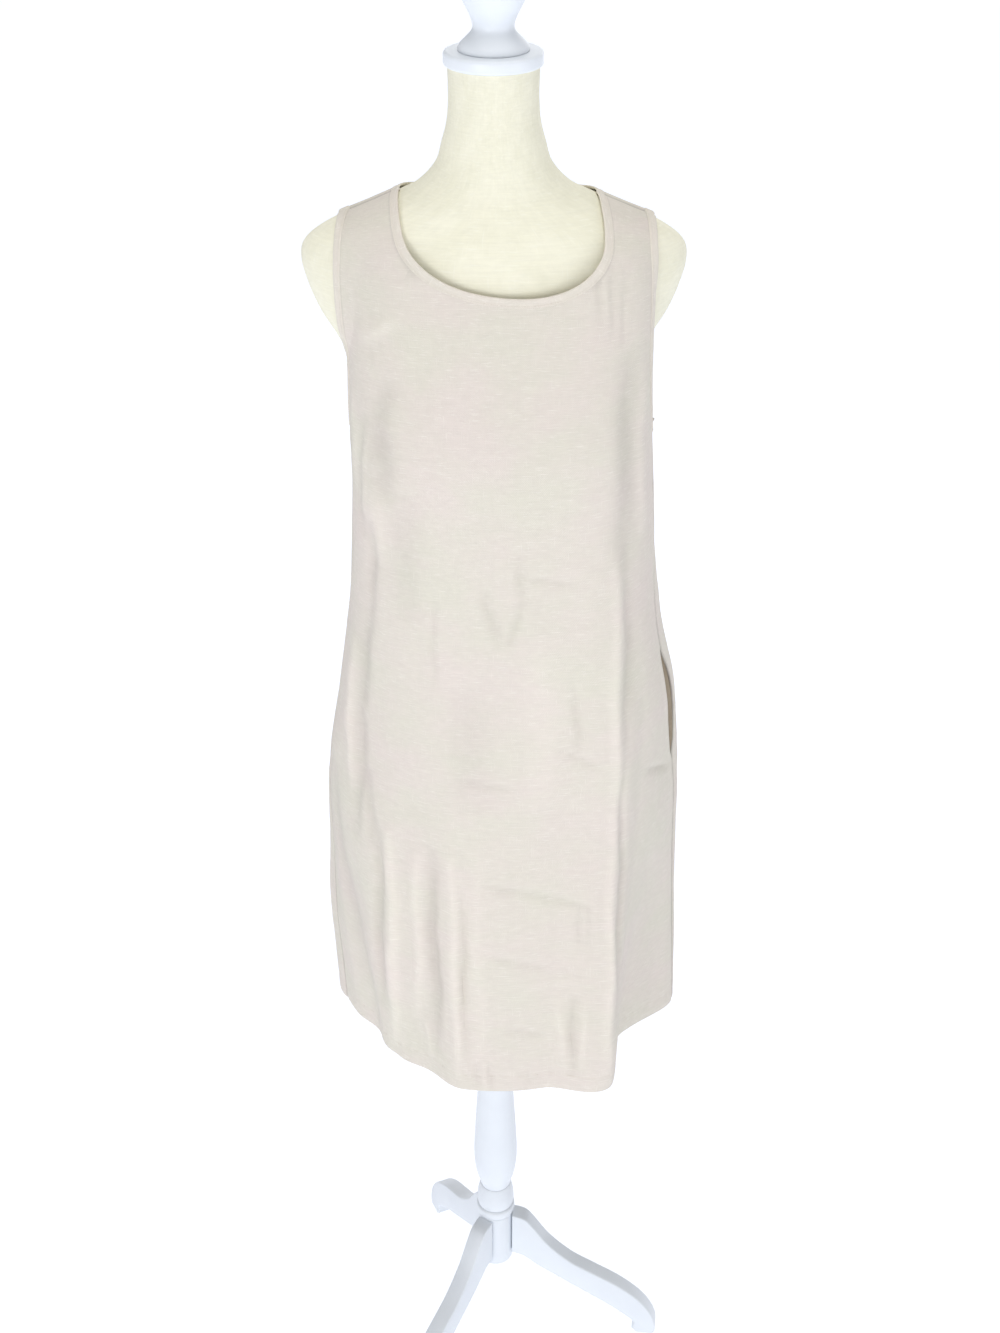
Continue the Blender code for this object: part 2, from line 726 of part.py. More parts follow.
def edge_run(points, normals, edge, inset, backwards=False):
    """Points and normals of one panel's part of a binding."""
    order = list(zip(edge, inset))
    if backwards:
        order.reverse()
    return (
        [points[a] for a, _ in order],
        [points[b] for _, b in order],
        [normals[a] for a, _ in order],
        [normals[b] for _, b in order],
    )


def bag_line(up, inner):
    """Places across one side of the pocket's bag, from its seam inwards, at a part of its depth.

    The outer side is sewn to the front panel's edge and the inner side to the back panel's.
    """
    height = POCKET_TOP - BAG_DEPTH * (1 - up)
    leaves = 0.0
    if height < POCKET_BOTTOM:
        leaves = BAG_LEAVES_BY * ease((POCKET_BOTTOM - height) / BAG_LEAVES_OVER)
    low = 1 - min(up / BAG_FOOT_PART, 1.0)
    reach = BAG_REACH * (1 - BAG_FOOT_NARROWS * low ** BAG_FOOT_SHAPE)
    reach *= 1 - BAG_TOP_NARROWS * up ** 3
    start = front_pocket_edge(height) - BAG_EDGE_TURN - leaves
    end = start - reach
    if inner:
        start = pocket_seam_angle(height) + BAG_EDGE_TURN - leaves
    return between((start, height), (end, height), BAG_COLUMNS)


def pocket_bag(inner, name):
    """One side of the pocket's bag, which hangs inside the skirt from the pocket's mouth."""
    depth = WALL + BAG_GAP
    if inner:
        depth += BAG_WALL + BAG_GAP
    outer_face = []
    inner_face = []
    cells = []
    for row in range(BAG_ROWS + 1):
        for column, at in enumerate(bag_line(row / BAG_ROWS, inner)):
            normal = dress_normal(*at)
            inward = depth + BAG_SLACK * ease(2 * column / BAG_COLUMNS)
            point = dress_point(*at)
            outer_face.append(point - normal * inward)
            inner_face.append(point - normal * (inward + BAG_WALL))
            if row < BAG_ROWS and column < BAG_COLUMNS:
                first = row * (BAG_COLUMNS + 1) + column
                above = first + BAG_COLUMNS + 1
                cells.append((first + 1, first, above, above + 1))
    return closed_wall(outer_face, inner_face, cells, name)


def form_mesh(detail):
    """The limbless form: a loft through level sections, closed at the neck and the hips.

    Detail is the number of rows for each section, and it multiplies the columns too.
    """
    heights = []
    for upper, lower in zip(FORM_SECTIONS, FORM_SECTIONS[1:]):
        heights += [
            upper.height + (lower.height - upper.height) * n / detail for n in range(detail)
        ]
    heights.append(FORM_BOTTOM)
    columns = FORM_COLUMNS * detail
    rings = bmesh.new()
    levels = []
    for height in heights:
        square = smooth_value(FORM_SECTIONS, "square", height)
        reach = smooth_value(FORM_SECTIONS, "reach", height)
        level = []
        for column in range(columns):
            sideways, forwards = unit_section(360.0 * column / columns, square)
            depth = smooth_value(FORM_SECTIONS, "front" if forwards > 0 else "back", height)
            level.append(rings.verts.new((reach * sideways, -depth * forwards, height)))
        levels.append(level)
    for upper, lower in zip(levels, levels[1:]):
        for column in range(columns):
            after = (column + 1) % columns
            rings.faces.new((upper[column], lower[column], lower[after], upper[after]))
    rings.faces.new(levels[0])
    rings.faces.new(list(reversed(levels[-1])))
    bmesh.ops.recalc_face_normals(rings, faces=rings.faces)
    mesh = bpy.data.meshes.new("dress_form")
    rings.to_mesh(mesh)
    rings.free()
    shade(mesh)
    return mesh


def turned(name, profile, steps, material, collection, axis):
    """A turned piece from its profile, given from the top down its outer side."""
    top = (0.0, 0.0, profile[0].height)
    foot = (0.0, 0.0, profile[-1].height)
    points = [top, *((point.radius, 0.0, point.height) for point in profile), foot]
    mesh = bpy.data.meshes.new(name)
    mesh.from_pydata(points, [(n, n + 1) for n in range(len(points) - 1)], [])
    piece = place(mesh, name, material, collection, axis)
    screw = piece.modifiers.new("Turned", "SCREW")
    screw.steps = steps
    screw.render_steps = steps
    screw.use_merge_vertices = True
    screw.merge_threshold = 0.0001
    screw.use_smooth_shade = True
    return piece


def rounded_plate(radius, bottom, top, edge):
    """Profile of a disc whose two edges are rounded."""
    profile = []
    for turn in (90, 45, 0):
        angle = math.radians(turn)
        over = radius - edge + edge * math.cos(angle)
        profile.append(ProfilePoint(over, top - edge + edge * math.sin(angle)))
    for turn in (0, -45, -90):
        angle = math.radians(turn)
        over = radius - edge + edge * math.cos(angle)
        profile.append(ProfilePoint(over, bottom + edge + edge * math.sin(angle)))
    return profile


def smooth_run(points, between):
    """Points of a smooth curve through points that are given by radius and height."""
    run = []
    last = len(points) - 1
    for index in range(last):
        start, end = points[index], points[index + 1]
        before = points[max(index - 1, 0)]
        after = points[min(index + 2, last)]
        for step in range(between):
            part = step / between
            mixed = []
            for p0, p1, p2, p3 in zip(before, start, end, after):
                value = 2 * p1 + (p2 - p0) * part
                value += (2 * p0 - 5 * p1 + 4 * p2 - p3) * part ** 2
                value += (3 * p1 - p0 - 3 * p2 + p3) * part ** 3
                mixed.append(value / 2)
            run.append(tuple(mixed))
    run.append(tuple(points[last]))
    return run


def leg(name, turn, material, collection, axis):
    """One leg: a flat board cut to the leg's outline, with eased edges."""
    upper = smooth_run(LEG_TOP_EDGE[:-1], 2) + [tuple(LEG_TOP_EDGE[-1])]
    lower = [tuple(LEG_LOWER_EDGE[0])] + smooth_run(LEG_LOWER_EDGE[1:-1], 2) + [tuple(LEG_LOWER_EDGE[-1])]
    outline = upper + lower
    curve = bpy.data.curves.new(name, "CURVE")
    curve.dimensions = "2D"
    curve.fill_mode = "BOTH"
    curve.extrude = LEG_THICKNESS / 2 - LEG_EDGE
    curve.bevel_depth = LEG_EDGE
    curve.bevel_resolution = 0
    curve.offset = -LEG_EDGE
    spline = curve.splines.new("POLY")
    spline.points.add(len(outline) - 1)
    for point, (radius, height) in zip(spline.points, outline):
        point.co = (radius, height, 0.0, 1.0)
    spline.use_cyclic_u = True
    board = bpy.data.objects.new(name, curve)
    curve.materials.append(material)
    collection.objects.link(board)
    board.parent = axis
    board.rotation_euler = (math.radians(90), 0.0, math.radians(turn))
    weld = board.modifiers.new("Weld", "WELD")
    weld.merge_threshold = 0.00005
    return board


def build_dress(form_tree, collection, axis):
    """Cut, lay and join the pieces of the dress."""
    linen = make_material("linen_cloth", OATMEAL, 0.85)
    edge_cloth = make_material("linen_binding", OATMEAL_EDGE, 0.85)
    bag_cloth = make_material("pocket_bag_cloth", OATMEAL_SHADE, 0.9)
    sides = {}
    for front in (True, False):
        panel = cut_panel(front)
        points, normals = lay_on_form(panel, front, form_tree)
        inner = [point - normal * WALL for point, normal in zip(points, normals)]
        name = "dress_front" if front else "dress_back"
        place(closed_wall(points, inner, panel.cells, name), name, linen, collection, axis)
        sides[front] = (panel, points, normals)

    front, front_points, front_normals = sides[True]
    back, back_points, back_normals = sides[False]
    neck = binding(
        [
            edge_run(front_points, front_normals, front.neck_inset, front.neck),
            edge_run(back_points, back_normals, back.neck_inset, back.neck),
        ],
        "neck_binding",
    )
    place(neck, "neck_binding", edge_cloth, collection, axis)
    pocket_hole = binding(
        [
            edge_run(front_points, front_normals, front.right_hole, front.right_inset),
            edge_run(back_points, back_normals, back.left_hole, back.left_inset, backwards=True),
        ],
        "armhole_binding_pocket_side",
    )
    place(pocket_hole, "armhole_binding_pocket_side", edge_cloth, collection, axis)
    plain_hole = binding(
        [
            edge_run(back_points, back_normals, back.right_hole, back.right_inset),
            edge_run(front_points, front_normals, front.left_hole, front.left_inset, backwards=True),
        ],
        "armhole_binding_plain_side",
    )
    place(plain_hole, "armhole_binding_plain_side", edge_cloth, collection, axis)

    for name, inner in (("pocket_bag_outer", False), ("pocket_bag_inner", True)):
        place(pocket_bag(inner, name), name, bag_cloth, collection, axis)


def build_stand(collection, axis):
    """Turn the disc, finial, post, ring and hub, and cut the three legs."""
    paint = make_material("white_paint", WHITE_PAINT, 0.38)
    disc = rounded_plate(DISC_RADIUS, DISC_BOTTOM, DISC_TOP, DISC_EDGE)
    finial = [ProfilePoint(0.0010, FINIAL_TOP), *FINIAL_PROFILE, ProfilePoint(0.0328, FINIAL_FOOT)]
    ring = rounded_plate(RING_RADIUS, RING_BOTTOM, RING_TOP, RING_EDGE)
    hub = [
        ProfilePoint(HUB_RADIUS, HUB_TOP),
        ProfilePoint(HUB_RADIUS, HUB_BOTTOM + HUB_CHAMFER),
        ProfilePoint(HUB_RADIUS - HUB_CHAMFER, HUB_BOTTOM),
    ]
    turned("neck_disc", disc, TURNED_STEPS, paint, collection, axis)
    turned("finial", finial, TURNED_STEPS, paint, collection, axis)
    turned("post", POST_PROFILE, POST_STEPS, paint, collection, axis)
    turned("post_ring", ring, TURNED_STEPS, paint, collection, axis)
    turned("leg_hub", hub, TURNED_STEPS, paint, collection, axis)
    for name, turn in LEG_ANGLES.items():
        leg(name, turn, paint, collection, axis)


def main():
    """Build the whole object round the stand's axis."""
    for old in list(bpy.data.objects):
        bpy.data.objects.remove(old, do_unlink=True)
    collection = bpy.data.collections.new(COLLECTION)
    bpy.context.scene.collection.children.link(collection)
    axis = bpy.data.objects.new("stand_axis", None)
    axis.location = (AXIS_X, AXIS_Y, 0.0)
    collection.objects.link(axis)

    cover = make_material("cream_cover", CREAM, 0.8)
    place(form_mesh(1), "dress_form", cover, collection, axis)
    rest = form_mesh(FORM_REST_DETAIL)
    rest_tree = BVHTree.FromPolygons(
        [vertex.co.copy() for vertex in rest.vertices],
        [tuple(face.vertices) for face in rest.polygons],
    )
    bpy.data.meshes.remove(rest)
    build_dress(rest_tree, collection, axis)
    build_stand(collection, axis)
    bpy.context.view_layer.update()


main()
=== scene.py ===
"""Looks of a sleeveless linen shift dress on a limbless dress form with a turned stand.

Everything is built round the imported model, in its frame: metres, +Z up. The dress faces -Y
and its in-seam pocket is on the +X side. A place on the dress is an angle round it, 0 at the
centre front and 90 on the pocket side, and a height down its side line. Shapes are worked
out from the stand's axis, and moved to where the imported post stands.
"""
import logging
import math
from collections.abc import Iterable, Sequence
from dataclasses import dataclass, field
from enum import Enum
from typing import Any

import bmesh
import bpy
import numpy as np
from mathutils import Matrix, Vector, noise
from mathutils.bvhtree import BVHTree


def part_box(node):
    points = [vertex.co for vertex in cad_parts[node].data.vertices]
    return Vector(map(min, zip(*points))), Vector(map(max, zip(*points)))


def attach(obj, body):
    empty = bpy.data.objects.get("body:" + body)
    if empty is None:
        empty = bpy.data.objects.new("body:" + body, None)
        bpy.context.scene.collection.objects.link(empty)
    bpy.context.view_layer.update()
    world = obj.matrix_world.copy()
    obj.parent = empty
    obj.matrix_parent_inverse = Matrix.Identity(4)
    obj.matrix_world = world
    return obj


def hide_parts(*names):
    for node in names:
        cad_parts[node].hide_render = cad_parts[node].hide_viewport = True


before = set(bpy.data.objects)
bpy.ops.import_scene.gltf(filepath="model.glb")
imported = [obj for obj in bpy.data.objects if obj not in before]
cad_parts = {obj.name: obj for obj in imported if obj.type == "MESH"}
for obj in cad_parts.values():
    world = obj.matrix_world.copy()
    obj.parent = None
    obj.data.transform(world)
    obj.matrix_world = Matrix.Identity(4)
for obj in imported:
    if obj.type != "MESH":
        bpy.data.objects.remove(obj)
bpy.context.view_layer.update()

log = logging.getLogger("shift_dress")

MILLIMETRE = 0.001
CLOTH_MAP = "cloth"
# Point attribute that holds the painted shade and painted light added to the cloth's colour
PAINTED_FOLD_SHADE = "painted_fold_shade"
TINY = 1e-9
# Edges of turned and sawn wood that stay crisp, in degrees
WOOD_SHARP_ANGLE = 42.0

# Main heights of the dress, along its side line
SHOULDER = 1.559
UNDERARM = 1.352
FOLD_MIDDLE = 0.950
HEM = 0.575
PLAIN_SEAM_ANGLE = -92.0
SEAM_GAP = 0.0003
BINDING_WIDTH = 0.008


def linear(colour: str) -> tuple[float, float, float, float]:
    """Turn an sRGB colour into the linear one that a shader takes.

    Args:
        colour: Six hex digits.

    Returns:
        Linear red, green, blue and an alpha of 1.
    """
    channels = []
    for start in (0, 2, 4):
        value = int(colour[start:start + 2], 16) / 255
        channels.append(value / 12.92 if value <= 0.04045 else ((value + 0.055) / 1.055) ** 2.4)
    return (*channels, 1.0)


def add_node(
    tree: bpy.types.NodeTree,
    kind: str,
    settings: dict[str, Any] | None = None,
    inputs: dict[str | int, Any] | None = None,
) -> bpy.types.Node:
    """Add a node with its settings and links.

    Args:
        tree: The material's node tree.
        kind: The node's type.
        settings: Values by attribute name.
        inputs: By an input's name or number, its value, or the socket or node that feeds it. A
            node feeds it from its first output in use.

    Returns:
        The new node.
    """
    node = tree.nodes.new(kind)
    for name, value in (settings or {}).items():
        setattr(node, name, value)
    for name, source in (inputs or {}).items():
        if isinstance(source, bpy.types.Node):
            source = next(socket for socket in source.outputs if socket.enabled)
        if isinstance(source, bpy.types.NodeSocket):
            tree.links.new(source, node.inputs[name])
        else:
            node.inputs[name].default_value = source
    return node


def ease(part: np.ndarray) -> np.ndarray:
    """Go smoothly from 0 to 1 as part does."""
    part = np.clip(part, 0.0, 1.0)
    return part * part * (3 - 2 * part)


def smooth_values(rows: Sequence[Any], column: str, height: np.ndarray) -> np.ndarray:
    """Read one column of a table at some heights, on a smooth curve through its rows.

    Args:
        rows: Table rows with a height, from the top down.
        column: The column's name.
        height: Heights to read at.

    Returns:
        The column's values at those heights.
    """
    heights = np.array([row.height for row in reversed(rows)])
    values = np.array([getattr(row, column) for row in reversed(rows)])
    slopes = np.empty_like(values)
    slopes[1:-1] = (values[2:] - values[:-2]) / (heights[2:] - heights[:-2])
    slopes[0] = (values[1] - values[0]) / (heights[1] - heights[0])
    slopes[-1] = (values[-1] - values[-2]) / (heights[-1] - heights[-2])
    at = np.clip(height, heights[0], heights[-1])
    upper = np.clip(np.searchsorted(heights, at, side="right"), 1, len(heights) - 1)
    lower = upper - 1
    span = heights[upper] - heights[lower]
    part = (at - heights[lower]) / span
    return (
        (1 + 2 * part) * (1 - part) ** 2 * values[lower]
        + part * (1 - part) ** 2 * span * slopes[lower]
        + part ** 2 * (3 - 2 * part) * values[upper]
        - part ** 2 * (1 - part) * span * slopes[upper]
    )


def row_dot(first: np.ndarray, second: np.ndarray) -> np.ndarray:
    """Dot products of two lists of vectors, row by row."""
    return np.einsum("ij,ij->i", first, second)


def unit_rows(vectors: np.ndarray) -> np.ndarray:
    """Vectors of length one, row by row."""
    return vectors / np.maximum(np.linalg.norm(vectors, axis=1, keepdims=True), 1e-12)


def run_along(points: np.ndarray) -> np.ndarray:
    """Distances along a line of points, from its first one."""
    return np.concatenate([[0.0], np.cumsum(np.linalg.norm(np.diff(points, axis=0), axis=1))])


def smooth_line(points: np.ndarray, between: int) -> np.ndarray:
    """Points of a smooth open curve through some points.

    Args:
        points: The points, one a row.
        between: Steps from one point to the next.

    Returns:
        The curve's points, with both ends.
    """
    padded = np.vstack([points[:1], points, points[-1:]])
    run = []
    for index in range(len(points) - 1):
        p0, p1, p2, p3 = padded[index:index + 4]
        for step in range(between):
            part = step / between
            run.append(
                (
                    2 * p1
                    + (p2 - p0) * part
                    + (2 * p0 - 5 * p1 + 4 * p2 - p3) * part ** 2
                    + (3 * p1 - p0 - 3 * p2 + p3) * part ** 3
                )
                / 2
            )
    run.append(points[-1])
    return np.array(run)


class SlubWay(Enum):
    """Which way a cloth's slub yarns run most."""

    WEFT = "weft"
    BOTH = "both"


@dataclass(frozen=True)
class WovenCloth:
    """A plain-woven cloth: thread relief, uneven slub yarns, mottled shade and small crinkles."""

    name: str
    warm: str
    cool: str
    slub: str
    thread_mm: float
    slub_mm: float
    slub_length_mm: float
    crinkle_mm: float
    relief_mm: float
    roughness: float
    sheen: float
    way: SlubWay = SlubWay.WEFT
    mottle_mm: float = 70.0
    # Part of the noise's range that turns from warm to cool, and from plain yarn to slub
    mottle_range: tuple[float, float] = (0.28, 0.72)
    weft_range: tuple[float, float] = (0.53, 0.72)
    warp_range: tuple[float, float] = (0.56, 0.76)
    # Slubs' share of the colour, and that of the ones along the warp where the weft has most
    slub_share: float = 0.62
    warp_share: float = 0.60
    # Value of the darkest cloth, and what its clouds and streaks add
    dark_value: float = 0.88
    cloud_depth: float = 0.12
    streak_depth: float = 0.12
    cloud_mm: tuple[float, float] = (9.0, 7.0)
    crinkle_size_mm: tuple[float, float] = (34.0, 12.0)
    # How far threads stray, as a share of their spacing, and how high slubs stand over them
    stray_share: float = 0.9
    stray_mm: float = 6.0
    slub_height: float = 1.8

    @staticmethod
    def clouds(
        place: bpy.types.Node, across_mm: float, along_mm: float, detail: float, rough: float
    ) -> bpy.types.Node:
        """Draw a cloudy pattern of a real size.

        Args:
            place: Node that gives the place on the flat cloth, in metres.
            across_mm: Width of its patches along the weft.
            along_mm: Their height along the warp.
            detail: How many finer sizes it holds.
            rough: How strong those are.

        Returns:
            The pattern's node, which gives 0 to 1.
        """
        tree = place.id_data
        scale = (1 / (across_mm * MILLIMETRE), 1 / (along_mm * MILLIMETRE), 1.0)
        spread = add_node(tree, "ShaderNodeMapping", {}, {"Vector": place, "Scale": scale})
        inputs = {"Vector": spread, "Scale": 1.0, "Detail": detail, "Roughness": rough}
        return add_node(tree, "ShaderNodeTexNoise", {}, inputs)

    def slubs(self, place: bpy.types.Node) -> bpy.types.Node:
        """Draw the thick yarns, each long along its own thread.

        Args:
            place: Node that gives the place on the flat cloth.

        Returns:
            The pattern's node, which gives 1 on a thick yarn.
        """
        tree = place.id_data
        smooth = {"interpolation_type": "SMOOTHSTEP"}
        weft = self.clouds(place, self.slub_length_mm, self.slub_mm, 3.0, 0.6)
        low, high = self.weft_range
        weft = add_node(
            tree, "ShaderNodeMapRange", smooth, {"Value": weft, "From Min": low, "From Max": high}
        )
        warp = self.clouds(place, self.slub_mm, self.slub_length_mm * 1.4, 3.0, 0.6)
        low, high = self.warp_range
        warp = add_node(
            tree, "ShaderNodeMapRange", smooth, {"Value": warp, "From Min": low, "From Max": high}
        )
        share = self.warp_share if self.way is SlubWay.WEFT else 1.0
        warp = add_node(tree, "ShaderNodeMath", {"operation": "MULTIPLY"}, {0: warp, 1: share})
        return add_node(tree, "ShaderNodeMath", {"operation": "MAXIMUM"}, {0: weft, 1: warp})

    def colour(self, place: bpy.types.Node, slubs: bpy.types.Node) -> bpy.types.Node:
        """Colour the cloth: broad warm and cool patches, pale slubs, clouds and streaks.

        Args:
            place: Node that gives the place on the flat cloth.
            slubs: Node that gives the thick yarns.

        Returns:
            The colour's node.
        """
        tree = place.id_data
        broad = self.clouds(place, self.mottle_mm, self.mottle_mm * 0.8, 4.0, 0.6)
        low, high = self.mottle_range
        broad = add_node(
            tree,
            "ShaderNodeMapRange",
            {"interpolation_type": "SMOOTHSTEP"},
            {"Value": broad, "From Min": low, "From Max": high},
        )
        # Inputs 6 and 7 are the two colours that a mix node goes between.
        ends = {0: broad, 6: linear(self.warm), 7: linear(self.cool)}
        colour = add_node(tree, "ShaderNodeMix", {"data_type": "RGBA"}, ends)
        share = add_node(
            tree, "ShaderNodeMath", {"operation": "MULTIPLY"}, {0: slubs, 1: self.slub_share}
        )
        ends = {0: share, 6: colour, 7: linear(self.slub)}
        colour = add_node(tree, "ShaderNodeMix", {"data_type": "RGBA"}, ends)
        grey = self.clouds(place, *self.cloud_mm, 4.0, 0.6)
        streaks = self.clouds(place, self.slub_length_mm * 2.2, self.slub_mm * 0.9, 3.0, 0.6)
        scaled = {"operation": "MULTIPLY_ADD"}
        value = add_node(
            tree, "ShaderNodeMath", scaled, {0: grey, 1: self.cloud_depth, 2: self.dark_value}
        )
        value = add_node(
            tree, "ShaderNodeMath", scaled, {0: streaks, 1: self.streak_depth, 2: value}
        )
        # Painted shade and light: crease troughs, seams and the lines beside the bindings are
        # painted darker, and crease ridges are painted paler.
        folds = add_node(tree, "ShaderNodeAttribute", {"attribute_name": PAINTED_FOLD_SHADE})
        value = add_node(
            tree, "ShaderNodeMath", {"operation": "ADD"}, {0: value, 1: folds.outputs["Fac"]}
        )
        return add_node(tree, "ShaderNodeHueSaturation", {}, {"Color": colour, "Value": value})

    def relief(self, place: bpy.types.Node, slubs: bpy.types.Node) -> bpy.types.Node:
        """Raise the threads, the slubs and small crinkles.

        Args:
            place: Node that gives the place on the flat cloth.
            slubs: Node that gives the thick yarns.

        Returns:
            The relief's node.
        """
        tree = place.id_data
        spacing = self.thread_mm * MILLIMETRE
        pace = math.pi / spacing
        sides = add_node(tree, "ShaderNodeSeparateXYZ", {}, {0: place})
        stray = self.clouds(place, self.stray_mm, self.stray_mm, 2.0, 0.5)
        scaled = {"operation": "MULTIPLY_ADD"}
        threads = []
        for side in (sides.outputs["X"], sides.outputs["Y"]):
            shifted = add_node(
                tree, "ShaderNodeMath", scaled, {0: stray, 1: self.stray_share * spacing, 2: side}
            )
            turned = add_node(
                tree, "ShaderNodeMath", {"operation": "MULTIPLY"}, {0: shifted, 1: pace}
            )
            threads.append(add_node(tree, "ShaderNodeMath", {"operation": "SINE"}, {0: turned}))
        over, under = threads
        weave = add_node(tree, "ShaderNodeMath", {"operation": "MULTIPLY"}, {0: over, 1: under})
        crinkle = self.clouds(place, *self.crinkle_size_mm, 3.0, 0.55)
        relief = self.relief_mm * MILLIMETRE
        height = add_node(tree, "ShaderNodeMath", {"operation": "MULTIPLY"}, {0: weave, 1: relief})
        for pattern, lift in (
            (slubs, self.slub_height * relief),
            (crinkle, self.crinkle_mm * MILLIMETRE),
        ):
            height = add_node(tree, "ShaderNodeMath", scaled, {0: pattern, 1: lift, 2: height})
        # The height is in metres, so the bump takes it as it is.
        return add_node(
            tree, "ShaderNodeBump", {}, {"Strength": 1.0, "Distance": 1.0, "Height": height}
        )

    def material(self) -> bpy.types.Material:
        """Build the cloth's material.

        Returns:
            A material that reads the piece's cloth map, in metres along the two threads.
        """
        material = bpy.data.materials.new(self.name)
        material.use_nodes = True
        tree = material.node_tree
        shader = tree.nodes["Principled BSDF"]
        place = add_node(tree, "ShaderNodeUVMap", {"uv_map": CLOTH_MAP})
        slubs = self.slubs(place)
        tree.links.new(self.colour(place, slubs).outputs[0], shader.inputs["Base Color"])
        tree.links.new(self.relief(place, slubs).outputs[0], shader.inputs["Normal"])
        shader.inputs["Roughness"].default_value = self.roughness
        # Cellulose fibre
        shader.inputs["IOR"].default_value = 1.53
        shader.inputs["Specular IOR Level"].default_value = 0.25
        shader.inputs["Sheen Weight"].default_value = self.sheen
        shader.inputs["Sheen Roughness"].default_value = 0.5
        return material


@dataclass(frozen=True)
class BrushedPaint:
    """Satin paint brushed over turned and sawn wood: fine brush lines and a faint cloudiness."""

    name: str
    colour: str
    shade: str
    roughness: float
    brush_mm: float
    relief_mm: float
    cloud_mm: float
    # Brush lines are this many times as long as they are wide
    brush_length: float = 9.0
    # How much smoother and rougher than its middle the paint gets
    smoother: float = 0.05
    rougher: float = 0.08

    def material(self) -> bpy.types.Material:
        """Build the paint's material.

        Returns:
            A material that reads the piece's own place, in metres.
        """
        material = bpy.data.materials.new(self.name)
        material.use_nodes = True
        tree = material.node_tree
        shader = tree.nodes["Principled BSDF"]
        place = add_node(tree, "ShaderNodeTexCoord").outputs["Object"]
        across = 1 / (self.cloud_mm * MILLIMETRE)
        cloud = add_node(
            tree, "ShaderNodeTexNoise", {}, {"Vector": place, "Scale": across, "Detail": 4.0}
        )
        # Inputs 6 and 7 are the two colours that a mix node goes between.
        ends = {0: cloud, 6: linear(self.colour), 7: linear(self.shade)}
        colour = add_node(tree, "ShaderNodeMix", {"data_type": "RGBA"}, ends)
        across = 1 / (self.brush_mm * MILLIMETRE)
        scale = (across, across, across / self.brush_length)
        lines = add_node(tree, "ShaderNodeMapping", {}, {"Vector": place, "Scale": scale})
        brush = add_node(
            tree, "ShaderNodeTexNoise", {}, {"Vector": lines, "Scale": 1.0, "Detail": 3.0}
        )
        low, high = self.roughness - self.smoother, self.roughness + self.rougher
        rough = add_node(
            tree, "ShaderNodeMapRange", {}, {"Value": brush, "To Min": low, "To Max": high}
        )
        depth = self.relief_mm * MILLIMETRE
        bump = add_node(
            tree, "ShaderNodeBump", {}, {"Strength": 1.0, "Distance": depth, "Height": brush}
        )
        for node, name in ((colour, "Base Color"), (rough, "Roughness"), (bump, "Normal")):
            output = next(socket for socket in node.outputs if socket.enabled)
            tree.links.new(output, shader.inputs[name])
        # Alkyd paint film
        shader.inputs["IOR"].default_value = 1.5
        return material


# Half-bleached linen and viscose, plain-woven: matte, faintly pink and grey by turns, with
# pale slub yarns across. Threads are about 0.6 mm apart, drawn at 0.9 mm so that they show.
OATMEAL_LINEN = WovenCloth(
    "oatmeal_linen_plain_weave", warm="DED4CC", cool="DAD6C8", slub="EFEAE1",
    thread_mm=0.9, slub_mm=1.3, slub_length_mm=13.0, crinkle_mm=0.70, relief_mm=0.07,
    roughness=0.86, sheen=0.12, mottle_mm=120.0,
)
# The same cloth cut on the cross, pressed flat. Its colour is painted a little paler than the
# panels' all over, a painted highlight for the light that the turned edge catches.
TURNED_LINEN = WovenCloth(
    "oatmeal_linen_turned_edge", warm="E2D9CF", cool="DDD8CB", slub="F1EBE2",
    thread_mm=0.9, slub_mm=1.3, slub_length_mm=11.0, crinkle_mm=0.20, relief_mm=0.06,
    roughness=0.84, sheen=0.12, way=SlubWay.BOTH,
)
# Light cotton pocketing: closer and duller than the linen. Its colour is partly the cloth's own
# taupe and partly painted shade, darkened for the shadow inside the pocket's mouth.
COTTON_POCKETING = WovenCloth(
    "cotton_pocketing_taupe_and_painted_shade", warm="9F917D", cool="938672", slub="ABA08C",
    thread_mm=0.7, slub_mm=1.2, slub_length_mm=12.0, crinkle_mm=0.25, relief_mm=0.03,
    roughness=0.9, sheen=0.05,
)
# Cream cotton cover stretched over the padding: yellower than the dress, soft mottling
COTTON_COVER = WovenCloth(
    "cream_cotton_cover", warm="F1EEDA", cool="EBE8D2", slub="F4F2E1",
    thread_mm=0.8, slub_mm=2.2, slub_length_mm=20.0, crinkle_mm=0.10, relief_mm=0.03,
    roughness=0.8, sheen=0.15, way=SlubWay.BOTH, mottle_mm=45.0,
)
# Spun polyester sewing thread, matched to the linen
SEWING_THREAD = WovenCloth(
    "spun_polyester_thread", warm="E3DACF", cool="DDD7CB", slub="ECE6DC",
    thread_mm=0.4, slub_mm=0.6, slub_length_mm=4.0, crinkle_mm=0.0, relief_mm=0.01,
    roughness=0.6, sheen=0.1,
)
# White satin paint brushed on wood: cool white, soft highlights along the turnings
WHITE_SATIN_PAINT = BrushedPaint(
    "white_satin_paint_on_wood", colour="E9EEF3", shade="E1E6ED",
    roughness=0.36, brush_mm=1.4, relief_mm=0.05, cloud_mm=38.4615,
)


